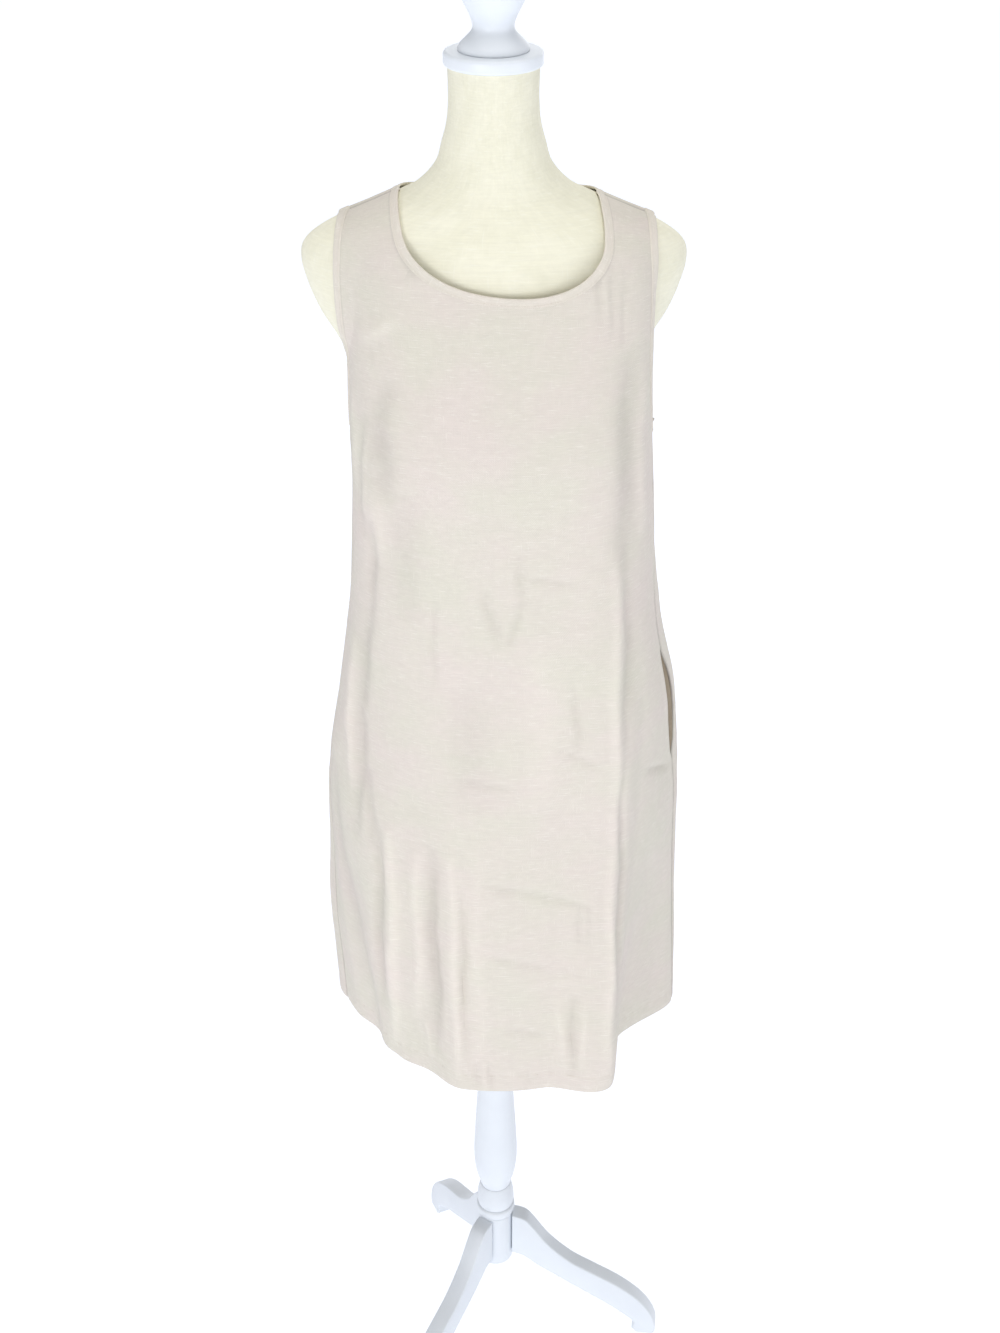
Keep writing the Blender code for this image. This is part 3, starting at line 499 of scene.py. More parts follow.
def mesh_piece(
    name: str,
    points: np.ndarray,
    faces: Iterable[Sequence[int]],
    material: bpy.types.Material,
    chart: np.ndarray,
    sharp_angle: float = 50.0,
    girth: float = 0.0,
) -> bpy.types.Object:
    """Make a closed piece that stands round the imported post's axis.

    Args:
        name: The piece's name.
        points: Its points, in metres from the stand's axis.
        faces: Its faces, by point number.
        material: Its finish.
        chart: Each point's place on the flat cloth or wood, in metres.
        sharp_angle: Edges turned more than this stay sharp, in degrees.
        girth: Length of a chart that goes all the way round, or 0 where it has two ends.

    Returns:
        The new object.
    """
    low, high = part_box("post")
    axis = np.array([(low.x + high.x) / 2, (low.y + high.y) / 2, 0.0])
    mesh = bpy.data.meshes.new(name)
    mesh.from_pydata((points + axis).tolist(), [], [list(map(int, face)) for face in faces])
    work = bmesh.new()
    work.from_mesh(mesh)
    bmesh.ops.recalc_face_normals(work, faces=work.faces)
    work.to_mesh(mesh)
    work.free()
    layer = mesh.uv_layers.new(name=CLOTH_MAP)
    corners = np.empty(len(mesh.loops), dtype=np.int32)
    mesh.loops.foreach_get("vertex_index", corners)
    corner_chart = chart[corners]
    if girth:
        sizes = [len(face.vertices) for face in mesh.polygons]
        first = np.repeat([face.loop_start for face in mesh.polygons], sizes)
        turns = np.round((corner_chart[first, 0] - corner_chart[:, 0]) / girth)
        corner_chart[:, 0] += turns * girth
    layer.data.foreach_set("uv", corner_chart.astype(np.float32).ravel())
    mesh.shade_smooth()
    mesh.set_sharp_from_angle(angle=math.radians(sharp_angle))
    mesh.materials.append(material)
    piece = bpy.data.objects.new(name, mesh)
    bpy.context.scene.collection.objects.link(piece)
    return piece


def put_on(piece: bpy.types.Object, slot: str, *nodes: str) -> None:
    """Fix a piece to the root body and hide the nodes that it stands for."""
    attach(piece, "root")
    if nodes:
        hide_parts(*nodes)
    log.info("%s: %d faces", piece.name, len(piece.data.polygons))


def ring_faces(rings: int, around: int, closed: bool = False) -> list[tuple[int, ...]]:
    """Faces between rings of points that each go all the way round.

    Args:
        rings: Number of rings.
        around: Points in each ring.
        closed: Whether the last ring joins the first.

    Returns:
        Four-sided faces.
    """
    faces = []
    for ring in range(rings if closed else rings - 1):
        first = ring * around
        second = (ring + 1) % rings * around
        for at in range(around):
            after = (at + 1) % around
            faces.append((first + at, first + after, second + after, second + at))
    return faces


def capped_rings(rings: int, around: int) -> list[tuple[int, ...]]:
    """Faces between rings of points, with a cap over the first ring and over the last.

    Args:
        rings: Number of rings.
        around: Points in each ring.

    Returns:
        Four-sided faces, and the two caps.
    """
    last = (rings - 1) * around
    caps = [tuple(reversed(range(around))), tuple(range(last, last + around))]
    return ring_faces(rings, around) + caps


@dataclass(frozen=True)
class Section:
    """Level section of the dress: half widths, depths, rise of its middle and squareness."""

    height: float
    reach_pocket: float
    reach_plain: float
    front: float
    back: float
    rise: float
    square: float


@dataclass(frozen=True)
class Fold:
    """Soft ridge or trough that runs from an angle at its top to another at the hem."""

    angle_top: float
    angle_hem: float
    spread: float
    top: float
    depth_middle: float
    depth_hem: float


@dataclass(frozen=True)
class SeamPoint:
    """Angle of the pocket side's seam at a height."""

    height: float
    angle: float


class Face(Enum):
    """Which way a crease is seen from, and so which two sizes place it."""

    FRONT = "front"
    BACK = "back"
    POCKET_SIDE = "pocket side"
    PLAIN_SIDE = "plain side"


@dataclass(frozen=True)
class Crease:
    """Small crease between two places, by metres along its face and height, width and lift."""

    face: Face
    start: tuple[float, float]
    end: tuple[float, float]
    width: float
    lift: float


SECTIONS = (
    Section(SHOULDER, 0.165, 0.153, 0.000, 0.000, 0.037, 2.3),
    Section(1.5530, 0.1645, 0.152, 0.040, 0.038, 0.035, 2.3),
    Section(1.5430, 0.163, 0.150, 0.071, 0.066, 0.020, 2.4),
    Section(1.5290, 0.162, 0.148, 0.085, 0.080, 0.010, 2.6),
    Section(1.5100, 0.161, 0.147, 0.094, 0.090, 0.003, 2.8),
    Section(1.4700, 0.160, 0.145, 0.107, 0.100, 0.000, 2.9),
    Section(1.4300, 0.158, 0.1440, 0.117, 0.106, 0.000, 3.0),
    Section(1.3900, 0.157, 0.1435, 0.126, 0.109, 0.000, 3.0),
    Section(UNDERARM, 0.158, 0.1435, 0.131, 0.110, 0.000, 3.0),
    Section(1.2820, 0.163, 0.1455, 0.132, 0.109, 0.000, 2.9),
    Section(1.1890, 0.169, 0.150, 0.133, 0.109, 0.000, 2.8),
    Section(1.1150, 0.180, 0.1585, 0.135, 0.110, 0.000, 2.7),
    Section(1.0390, 0.197, 0.170, 0.138, 0.113, 0.000, 2.5),
    Section(0.9330, 0.206, 0.186, 0.142, 0.119, 0.000, 2.3),
    Section(0.8200, 0.211, 0.191, 0.147, 0.124, 0.000, 2.2),
    Section(0.7010, 0.216, 0.195, 0.152, 0.129, 0.000, 2.1),
    Section(HEM, 0.220, 0.193, 0.156, 0.132, 0.000, 2.0),
)
FOLDS = (
    Fold(40.0, 30.0, 15.0, 1.430, 0.011, 0.026),
    Fold(66.0, 61.0, 30.0, 1.150, -0.010, -0.044),
    Fold(82.0, 80.0, 17.0, 0.880, 0.000, -0.009),
    Fold(-46.0, -50.0, 38.0, 1.250, -0.010, -0.026),
    Fold(-28.0, -26.0, 16.0, 1.000, -0.002, -0.011),
    Fold(-66.0, -65.0, 16.0, 1.020, -0.002, -0.012),
    Fold(-78.0, -80.0, 26.0, 0.980, -0.002, -0.020),
    Fold(-106.0, -108.0, 22.0, 1.050, 0.002, 0.006),
    Fold(128.0, 124.0, 22.0, 1.250, 0.005, 0.016),
    Fold(150.0, 150.0, 17.0, 1.150, -0.003, -0.012),
    Fold(178.0, 176.0, 20.0, 1.150, 0.004, 0.012),
    Fold(204.0, 206.0, 17.0, 1.100, -0.003, -0.012),
    Fold(230.0, 234.0, 20.0, 1.250, 0.004, 0.015),
)
POCKET_SEAM = (
    SeamPoint(UNDERARM, 88.0),
    SeamPoint(1.250, 75.0),
    SeamPoint(1.180, 69.0),
    SeamPoint(1.140, 67.5),
    SeamPoint(1.100, 70.5),
    SeamPoint(1.060, 75.0),
    SeamPoint(1.020, 77.3),
    SeamPoint(0.960, 78.5),
    SeamPoint(0.880, 82.0),
    SeamPoint(0.765, 87.0),
    SeamPoint(HEM, 91.5),
)
# Creases by face: along and height of the start, the same of the end, width and lift
CREASE_ROWS = {
    Face.FRONT: (
        # Drape from the bust on the plain side, and the lines beside the armhole
        (-0.098, 1.440, -0.118, 1.350, 0.0100, -0.0035),
        (-0.103, 1.385, -0.108, 1.310, 0.0110, -0.0035),
        (-0.128, 1.400, -0.131, 1.260, 0.0046, -0.0023),
        (-0.136, 1.420, -0.139, 1.310, 0.0037, 0.0023),
        (-0.118, 1.330, -0.116, 1.240, 0.0100, 0.0026),
        (-0.122, 1.290, -0.125, 1.175, 0.0055, -0.0043),
        (-0.127, 1.190, -0.140, 1.060, 0.0064, -0.0046),
        (-0.140, 1.090, -0.153, 0.880, 0.0064, -0.0043),
        (-0.148, 1.140, -0.158, 0.940, 0.0046, 0.0038),
        (-0.136, 0.990, -0.137, 0.880, 0.0055, -0.0032),
        (-0.127, 1.465, -0.085, 1.492, 0.0064, 0.0020),
        (-0.090, 1.330, -0.086, 1.180, 0.0160, -0.0023),
        # Short upright creases under the pocket side's strap
        (0.097, 1.545, 0.101, 1.478, 0.0042, -0.0014),
        (0.109, 1.540, 0.113, 1.466, 0.0046, -0.0018),
        (0.119, 1.532, 0.123, 1.460, 0.0038, -0.0014),
        (0.103, 1.535, 0.107, 1.475, 0.0036, 0.0009),
        # Body: a soft V, a thin level line, and an upright with a short level one at its foot
        (-0.012, 1.232, 0.008, 1.160, 0.0051, -0.0025),
        (0.025, 1.272, 0.026, 1.200, 0.0046, -0.0019),
        (0.027, 1.212, 0.012, 1.160, 0.0046, -0.0022),
        (0.020, 1.241, 0.088, 1.227, 0.0028, -0.0017),
        (-0.060, 1.225, -0.060, 1.105, 0.0037, -0.0017),
        (0.083, 1.115, 0.087, 1.030, 0.0041, -0.0025),
        (0.060, 1.040, 0.112, 1.014, 0.0029, -0.0020),
        (-0.030, 1.120, -0.022, 0.960, 0.0220, -0.0020),
        (0.048, 1.180, 0.054, 0.960, 0.0200, 0.0017),
        # Lower front: upright folds on the plain side, level crinkles in the middle
        (-0.127, 0.925, -0.134, 0.640, 0.0060, -0.0052),
        (-0.113, 0.925, -0.119, 0.585, 0.0069, 0.0058),
        (-0.086, 0.905, -0.087, 0.650, 0.0060, 0.0038),
        (-0.070, 0.920, -0.067, 0.610, 0.0064, -0.0058),
        (-0.048, 0.915, -0.043, 0.590, 0.0060, 0.0041),
        (-0.036, 0.860, -0.034, 0.610, 0.0035, -0.0032),
        (-0.078, 0.665, -0.073, 0.600, 0.0037, 0.0023),
        (-0.020, 0.920, -0.016, 0.600, 0.0080, 0.0017),
        (-0.018, 0.868, 0.045, 0.854, 0.0039, -0.0020),
        (0.036, 0.857, 0.110, 0.832, 0.0039, -0.0019),
        (-0.046, 1.002, 0.030, 0.988, 0.0037, -0.0016),
        (0.090, 0.842, 0.094, 0.775, 0.0033, -0.0020),
        (0.101, 0.838, 0.103, 0.778, 0.0033, -0.0017),
        (-0.005, 0.770, 0.060, 0.752, 0.0037, -0.0017),
        (0.030, 0.726, 0.104, 0.736, 0.0037, 0.0014),
        (0.006, 0.668, 0.060, 0.656, 0.0041, -0.0017),
        (0.072, 0.715, 0.076, 0.605, 0.0046, 0.0025),
        (0.087, 0.718, 0.090, 0.598, 0.0044, -0.0035),
        (0.099, 0.715, 0.101, 0.605, 0.0040, 0.0025),
        (-0.023, 0.622, -0.020, 0.577, 0.0033, -0.0020),
        (-0.014, 0.620, -0.012, 0.577, 0.0028, 0.0016),
        (-0.006, 0.620, -0.005, 0.577, 0.0033, -0.0019),
        (0.040, 0.612, 0.044, 0.576, 0.0037, -0.0014),
        # Front fold on the pocket side: a ridge, and a crisp line down its far edge
        (0.130, 1.465, 0.131, 1.235, 0.0110, -0.0044),
        (0.143, 1.440, 0.146, 1.260, 0.0045, 0.0024),
        (-0.126, 1.385, -0.127, 1.285, 0.0035, 0.0022),
        (0.122, 1.260, 0.130, 0.930, 0.0064, 0.0029),
        (0.133, 1.270, 0.141, 1.000, 0.0064, -0.0038),
        (0.126, 0.960, 0.132, 0.580, 0.0055, 0.0032),
        (0.136, 1.020, 0.141, 0.640, 0.0041, -0.0041),
    ),
    Face.POCKET_SIDE: (
        # Pocket side: the level crease at the pocket's foot, and a few uprights behind the seam
        (-0.092, 0.981, -0.033, 0.949, 0.0040, -0.0030),
        (-0.040, 1.340, -0.020, 1.180, 0.0100, -0.0027),
        (0.030, 1.330, 0.020, 1.120, 0.0120, 0.0024),
        (0.010, 0.940, 0.030, 0.620, 0.0120, -0.0041),
        (0.060, 0.880, 0.070, 0.600, 0.0100, 0.0035),
    ),
    Face.PLAIN_SIDE: (
        (-0.030, 1.340, -0.045, 1.200, 0.0100, -0.0027),
        (0.035, 1.320, 0.028, 1.080, 0.0120, 0.0024),
        (-0.030, 0.960, -0.050, 0.640, 0.0120, -0.0038),
        (0.020, 0.930, 0.040, 0.600, 0.0120, 0.0035),
    ),
    Face.BACK: (
        # Back: drape from the shoulder blades and soft folds below
        (0.105, 1.430, 0.125, 1.300, 0.0120, -0.0030),
        (-0.100, 1.425, -0.116, 1.290, 0.0120, -0.0030),
        (0.050, 1.300, 0.062, 1.090, 0.0140, -0.0024),
        (-0.046, 1.320, -0.056, 1.100, 0.0140, -0.0024),
        (-0.040, 1.228, 0.030, 1.222, 0.0050, -0.0014),
        (0.120, 0.960, 0.124, 0.600, 0.0110, 0.0047),
        (0.082, 0.920, 0.074, 0.590, 0.0100, -0.0041),
        (0.030, 0.900, 0.024, 0.620, 0.0100, 0.0030),
        (-0.040, 0.930, -0.034, 0.600, 0.0100, -0.0038),
        (-0.100, 0.950, -0.104, 0.610, 0.0110, 0.0043),
        (0.010, 0.860, -0.060, 0.850, 0.0050, -0.0014),
        (0.060, 0.760, -0.010, 0.752, 0.0050, -0.0014),
    ),
}
CREASES = tuple(
    Crease(face, row[:2], row[2:4], *row[4:])
    for face, rows in CREASE_ROWS.items() for row in rows
)


@dataclass
class DressShape:
    """Outer face of the dress, read by an angle round it and a height down its side line."""

    sections: tuple[Section, ...] = SECTIONS
    folds: tuple[Fold, ...] = FOLDS
    probe_angle: float = 0.5
    probe_height: float = 0.0005
    # The flat cloth: weft lengths on a mean radius, warp lengths down the line at one angle
    chart_radius: float = 0.165
    chart_angle: float = 20.0
    chart_steps: int = 400

    def fold_lift(self, angle: np.ndarray, height: np.ndarray) -> np.ndarray:
        """How far the large folds lift the cloth.

        Args:
            angle: Angles in degrees.
            height: Heights in metres.

        Returns:
            Lifts in metres.
        """
        lift = np.zeros_like(angle)
        for fold in self.folds:
            down = (fold.top - height) / (fold.top - HEM)
            middle = fold.angle_top + (fold.angle_hem - fold.angle_top) * down
            away = np.abs((angle - middle + 180.0) % 360.0 - 180.0) / fold.spread
            upper = fold.depth_middle * ease((fold.top - height) / (fold.top - FOLD_MIDDLE))
            below = ease((FOLD_MIDDLE - height) / (FOLD_MIDDLE - HEM))
            lower = fold.depth_middle + (fold.depth_hem - fold.depth_middle) * below
            depth = np.where(height > FOLD_MIDDLE, upper, lower)
            lift += depth * (0.5 + 0.5 * np.cos(np.pi * np.minimum(away, 1.0)))
        return lift

    def reach(self, sideways: np.ndarray, height: np.ndarray) -> np.ndarray:
        """How far the sections reach, on the side that each first value is on."""
        pocket_side = smooth_values(self.sections, "reach_pocket", height)
        plain_side = smooth_values(self.sections, "reach_plain", height)
        return np.where(sideways > 0, pocket_side, plain_side)

    def point(self, angle: np.ndarray, height: np.ndarray) -> np.ndarray:
        """Points of the outer face.

        Args:
            angle: Angles in degrees.
            height: Heights in metres.

        Returns:
            One point a row, in metres from the stand's axis.
        """
        square = smooth_values(self.sections, "square", height)
        sideways = np.sin(np.radians(angle))
        forwards = np.cos(np.radians(angle))
        size = (np.abs(sideways) ** square + np.abs(forwards) ** square) ** (1 / square)
        sideways = sideways / size
        forwards = forwards / size
        depth = np.where(
            forwards > 0,
            smooth_values(self.sections, "front", height),
            smooth_values(self.sections, "back", height),
        )
        rise = smooth_values(self.sections, "rise", height)
        x = self.reach(sideways, height) * sideways
        y = -depth * forwards
        scale = 1 + self.fold_lift(angle, height) / np.maximum(np.hypot(x, y), 1e-6)
        return np.stack([x * scale, y * scale, height + rise * (1 - sideways ** 2)], axis=1)

    def slopes(self, places: np.ndarray) -> tuple[np.ndarray, np.ndarray]:
        """How the face moves for a degree and for a metre of height.

        Args:
            places: Angle and height, one place a row.

        Returns:
            The moves for a degree, and those for a metre of height.
        """
        angle, height = places[:, 0], places[:, 1]
        step = self.probe_angle
        across = (self.point(angle + step, height) - self.point(angle - step, height)) / (2 * step)
        lower = height - self.probe_height
        upper = np.minimum(height + self.probe_height, SHOULDER)
        along = (self.point(angle, upper) - self.point(angle, lower)) / (upper - lower)[:, None]
        return across, along

    def normal(self, places: np.ndarray) -> np.ndarray:
        """Directions out of the cloth, which lean to neither panel on the shoulder seam.

        Args:
            places: Angle and height, one place a row.

        Returns:
            Vectors of length one.
        """
        normal = np.cross(*self.slopes(places))
        normal[places[:, 1] >= SHOULDER - TINY, 1] = 0.0
        return unit_rows(normal)

    def step(self, places: np.ndarray, move: np.ndarray) -> np.ndarray:
        """Move along the cloth.

        Args:
            places: Angle and height, one place a row.
            move: The moves wanted, in space.

        Returns:
            The places reached.
        """
        across, along = self.slopes(places)
        aa, ab, bb = row_dot(across, across), row_dot(across, along), row_dot(along, along)
        ma, mb = row_dot(across, move), row_dot(along, move)
        size = aa * bb - ab * ab
        turned = places[:, 0] + (ma * bb - mb * ab) / size
        raised = np.minimum(places[:, 1] + (mb * aa - ma * ab) / size, SHOULDER)
        return np.stack([turned, raised], axis=1)

    def angle_of(self, x: np.ndarray, height: np.ndarray, front: bool) -> np.ndarray:
        """Angles at which the sections reach sideways to x.

        Args:
            x: Metres to the pocket's side.
            height: Heights in metres.
            front: Whether the angles are those of the front.

        Returns:
            Angles in degrees.
        """
        square = smooth_values(self.sections, "square", height)
        sideways = np.minimum(np.abs(x) / self.reach(x, height), 1.0)
        forwards = (1 - sideways ** square) ** (1 / square)
        angle = np.degrees(np.arctan2(np.copysign(sideways, x), forwards))
        return angle if front else 180.0 - angle

    def chart(self, places: np.ndarray) -> np.ndarray:
        """Find where places are on the flat cloth.

        Args:
            places: Angle and height, one place a row.

        Returns:
            Metres along the weft and along the warp.
        """
        heights = np.linspace(HEM, SHOULDER, self.chart_steps)
        run = run_along(self.point(np.full_like(heights, self.chart_angle), heights))
        weft = np.radians(places[:, 0]) * self.chart_radius
        return np.stack([weft, np.interp(places[:, 1], heights, run)], axis=1)


@dataclass(frozen=True)
class Neckline:
    """Arc from one shoulder seam to the other."""

    low_x: float
    low_height: float
    reach_plain: float
    end_plain: float
    reach_pocket: float
    end_pocket: float


@dataclass(frozen=True)
class Armhole:
    """How far an armhole scoops in from the side seam, in degrees round the body."""

    scoop: float
    end: float
    sharpness: float


@dataclass(frozen=True)
class Pocket:
    """In-seam pocket: its mouth, how far that gapes, and its bag."""

    top: float = 1.112
    bottom: float = 0.958
    gape: float = 6.5
    gape_shape: float = 0.9
    bag_depth: float = 0.235
    bag_reach: float = 34.0
    edge_turn: float = 0.3
    leaves_by: float = 6.0
    leaves_over: float = 0.080
    foot_part: float = 0.45
    foot_narrows: float = 0.55
    foot_shape: float = 2.2
    top_narrows: float = 0.25
    lip_fades: float = 0.03

    def seam(self, height: np.ndarray) -> np.ndarray:
        """Angles of the side seam, which are the back panel's edge."""
        return smooth_values(POCKET_SEAM, "angle", height)

    def front_edge(self, height: np.ndarray) -> np.ndarray:
        """Angles of the front panel's edge, which stands off the seam along the mouth."""
        part = np.clip((height - self.bottom) / (self.top - self.bottom), 0.0, 1.0)
        return self.seam(height) - self.gape * np.sin(np.pi * part) ** self.gape_shape

    def mouth(self, height: np.ndarray) -> np.ndarray:
        """1 along the mouth and 0 past both of its ends."""
        from_bottom = ease((height - self.bottom) / self.lip_fades)
        return from_bottom * ease((self.top - height) / self.lip_fades)

    def bag_line(self, up: float, inner: bool, columns: int) -> np.ndarray:
        """Places across one side of the bag.

        Args:
            up: Part of the bag's depth, from its foot.
            inner: Whether it is the side that is sewn to the back panel.
            columns: Steps across.

        Returns:
            Places from the seam inwards.
        """
        height = self.top - self.bag_depth * (1 - up)
        level = np.array([height])
        leaves = self.leaves_by * float(ease((self.bottom - height) / self.leaves_over))
        low = 1 - min(up / self.foot_part, 1.0)
        reach = self.bag_reach * (1 - self.foot_narrows * low ** self.foot_shape)
        reach *= 1 - self.top_narrows * up ** 3
        start = float(self.front_edge(level)[0]) - self.edge_turn - leaves
        end = start - reach
        if inner:
            start = float(self.seam(level)[0]) + self.edge_turn - leaves
        angles = np.linspace(start, end, columns + 1)
        return np.stack([angles, np.full_like(angles, height)], axis=1)


class PanelEdge(Enum):
    """A panel's edges that are bound: the neck, and the armholes at its low and high angles."""

    NECK = "neck"
    LOW_ARMHOLE = "low armhole"
    HIGH_ARMHOLE = "high armhole"


@dataclass(frozen=True)
class PanelCut:
    """What sets one panel's outline apart: its neckline, armholes and seams."""

    name: str
    node: str
    front: bool
    neckline: Neckline
    armhole: Armhole
    neck_columns: int
    neck_turn: float
    strap_rows: int
    flat: tuple[float, float]
    flat_area: float


@dataclass
class Panel:
    """One cut piece of the dress: places on it, its cells and the lines along its edges."""

    shape: DressShape
    pocket: Pocket
    cut: PanelCut
    strap_columns: int = 32
    armhole_rows: int = 64
    side_rows: int = 150
    binding_columns: int = 3
    smoothing_rounds: int = 1500
    edge_samples: int = 601
    places: np.ndarray = field(default_factory=lambda: np.empty((0, 2)))
    cells: list[tuple[int, int, int, int]] = field(default_factory=list)
    # Numbers along each edge, and along the line a binding's width inside it
    edges: dict[PanelEdge, tuple[np.ndarray, np.ndarray]] = field(default_factory=dict)

    def seam_angles(self, height: np.ndarray) -> tuple[np.ndarray, np.ndarray]:
        """Angles of the panel's side seams.

        Args:
            height: Heights in metres.

        Returns:
            The seam at the lower angle, and the one at the higher.
        """
        if self.cut.front:
            return np.full_like(height, PLAIN_SEAM_ANGLE), self.pocket.front_edge(height)
        return self.pocket.seam(height), np.full_like(height, PLAIN_SEAM_ANGLE + 360.0)

    def add(self, places: np.ndarray) -> np.ndarray:
        """Add places.

        Args:
            places: Angle and height, one place a row.

        Returns:
            Their numbers.
        """
        first = len(self.places)
        self.places = np.vstack([self.places, places])
        return np.arange(first, len(self.places))

    def join(self, lower: np.ndarray, upper: np.ndarray) -> None:
        """Add the cells between two lines of numbers, the lower one first."""
        self.cells.extend(zip(lower[:-1], lower[1:], upper[1:], upper[:-1]))

    def add_block(
        self, grid: np.ndarray, first_line: np.ndarray | None = None
    ) -> list[np.ndarray]:
        """Add a block of cells.

        Args:
            grid: Places by row and column.
            first_line: Numbers of its first line, where that is there already.

        Returns:
            The numbers of each line.
        """
        lines = [self.add(grid[0]) if first_line is None else first_line]
        for row in grid[1:]:
            lines.append(self.add(row))
            self.join(lines[-2], lines[-1])
        return lines

    def add_strip(self, edge: np.ndarray, inset: np.ndarray, turned: bool) -> np.ndarray:
        """Add the strip between the panel's cells and an edge.

        Args:
            edge: Places along the edge.
            inset: Numbers of the line inside it.
            turned: Whether the cells' order is turned round.

        Returns:
            The numbers along the edge.
        """
        inner = self.places[inset]
        parts = [number / self.binding_columns for number in range(self.binding_columns)]
        lines = [self.add(edge + (inner - edge) * part) for part in parts] + [inset]
        for first, second in zip(lines, lines[1:]):
            if turned:
                self.join(first[::-1], second[::-1])
            else:
                self.join(first, second)
        return lines[0]

    def even(self, places: np.ndarray, count: int) -> np.ndarray:
        """Pick places from a fine line, the same distance apart on the cloth.

        Args:
            places: The fine line.
            count: Steps wanted.

        Returns:
            The places, both ends included.
        """
        run = run_along(self.shape.point(places[:, 0], places[:, 1]))
        wanted = np.linspace(0.0, run[-1], count + 1)
        return np.stack([np.interp(wanted, run, places[:, side]) for side in (0, 1)], axis=1)

    def neck_edge(self) -> np.ndarray:
        """Follow the neckline.

        Returns:
            Places along it, from the plain side's shoulder seam.
        """
        line = self.cut.neckline
        runs = (
            (-line.end_plain, -self.cut.neck_turn, self.cut.strap_rows),
            (-self.cut.neck_turn, self.cut.neck_turn, self.cut.neck_columns),
            (self.cut.neck_turn, line.end_pocket, self.cut.strap_rows),
        )
        places = []
        for first, last, count in runs:
            turn = np.linspace(first, last, self.edge_samples)
            reach = np.where(turn < 0, line.reach_plain, line.reach_pocket)
            end = np.cos(np.radians(np.where(turn < 0, line.end_plain, line.end_pocket)))
            x = line.low_x + reach * np.sin(np.radians(turn))
            down = np.maximum((np.cos(np.radians(turn)) - end) / (1 - end), 0.0)
            height = SHOULDER - (SHOULDER - line.low_height) * down
            fine = np.stack([self.shape.angle_of(x, height, self.cut.front), height], axis=1)
            places.append(self.even(fine, count)[1 if places else 0:])
        return np.vstack(places)

    def armhole_edge(self, seam_angle: float, way: int) -> np.ndarray:
        """Follow one armhole.

        Args:
            seam_angle: Angle of the side seam under it.
            way: 1 where the armhole scoops towards higher angles, -1 where it doesn't.

        Returns:
            Places along it, from the side seam up to the shoulder seam.
        """
        armhole = self.cut.armhole
        turn = np.radians(np.linspace(0.0, armhole.end, self.edge_samples))
        scoop = armhole.scoop * np.maximum(np.sin(turn), 0.0) ** armhole.sharpness
        up = (1 - np.cos(turn)) / (1 - math.cos(math.radians(armhole.end)))
        # The back's armhole leans, so that it ends where the front's does on the shoulder seam.
        lean = 0.0 if self.cut.front else 2 * (90.0 * round(seam_angle / 90.0) - seam_angle)
        middle = seam_angle + lean * up
        fine = np.stack([middle + way * scoop, UNDERARM + (SHOULDER - UNDERARM) * up], axis=1)
        return self.even(fine, self.armhole_rows)

    def inset(self, edge: np.ndarray, inward: int) -> np.ndarray:
        """Follow an edge a binding's width inside it, with both ends on their seams.

        Args:
            edge: Places along the edge.
            inward: Which way is in, 1 or -1.

        Returns:
            Places along the line inside it.
        """
        points = self.shape.point(edge[:, 0], edge[:, 1])
        along_edge = unit_rows(np.gradient(points, axis=0))
        direction = np.cross(self.shape.normal(edge), along_edge) * inward
        line = self.shape.step(edge, direction * BINDING_WIDTH)
        across, _ = self.shape.slopes(edge)
        for end in (0, -1):
            if edge[end, 1] >= SHOULDER - TINY:
                way = math.copysign(1.0, line[end, 0] - edge[end, 0])
                turn = way * BINDING_WIDTH / float(np.linalg.norm(across[end]))
                line[end] = (edge[end, 0] + turn, SHOULDER)
            else:
                line[end] = (edge[end, 0], edge[end, 1] - BINDING_WIDTH)
        return line

    @staticmethod
    def fill(
        bottom: np.ndarray, top: np.ndarray, left: np.ndarray, right: np.ndarray
    ) -> np.ndarray:
        """Fill the block between four lines.

        Args:
            bottom: Places along its first row.
            top: Places along its last row.
            left: Places down its first column.
            right: Places down its last column.

        Returns:
            Places by row and column.
        """
        up = np.linspace(0.0, 1.0, len(left))[:, None, None]
        over = np.linspace(0.0, 1.0, len(bottom))[None, :, None]
        by_height = bottom[None] * (1 - up) + top[None] * up
        by_width = left[:, None] * (1 - over) + right[:, None] * over
        low = bottom[0] * (1 - over) + bottom[-1] * over
        high = top[0] * (1 - over) + top[-1] * over
        return by_height + by_width - low * (1 - up) - high * up

    def smoothed(self, grid: np.ndarray) -> np.ndarray:
        """Even out the places inside a block, so that none of its cells folds over.

        Args:
            grid: Places by row and column, which are moved.

        Returns:
            The same grid.
        """
        for _ in range(self.smoothing_rounds):
            grid[1:-1, 1:-1] = (
                grid[:-2, 1:-1] + grid[2:, 1:-1] + grid[1:-1, :-2] + grid[1:-1, 2:]
            ) / 4
        return grid

    def lay_out(self) -> None:
        """Lay the panel out: a skirt and chest block, two straps, and strips for the bindings."""
        levels = np.linspace(HEM, UNDERARM - BINDING_WIDTH, self.side_rows + 1)
        left_seam, right_seam = (
            np.stack([side, levels], axis=1) for side in self.seam_angles(levels)
        )
        left_hole = self.armhole_edge(float(left_seam[-1, 0]), 1)
        right_hole = self.armhole_edge(float(right_seam[-1, 0]), -1)
        neck = self.neck_edge()
        if not self.cut.front:
            neck = neck[::-1]
        left_inset = self.inset(left_hole, -1)
        right_inset = self.inset(right_hole, 1)
        neck_inset = self.inset(neck, -1)

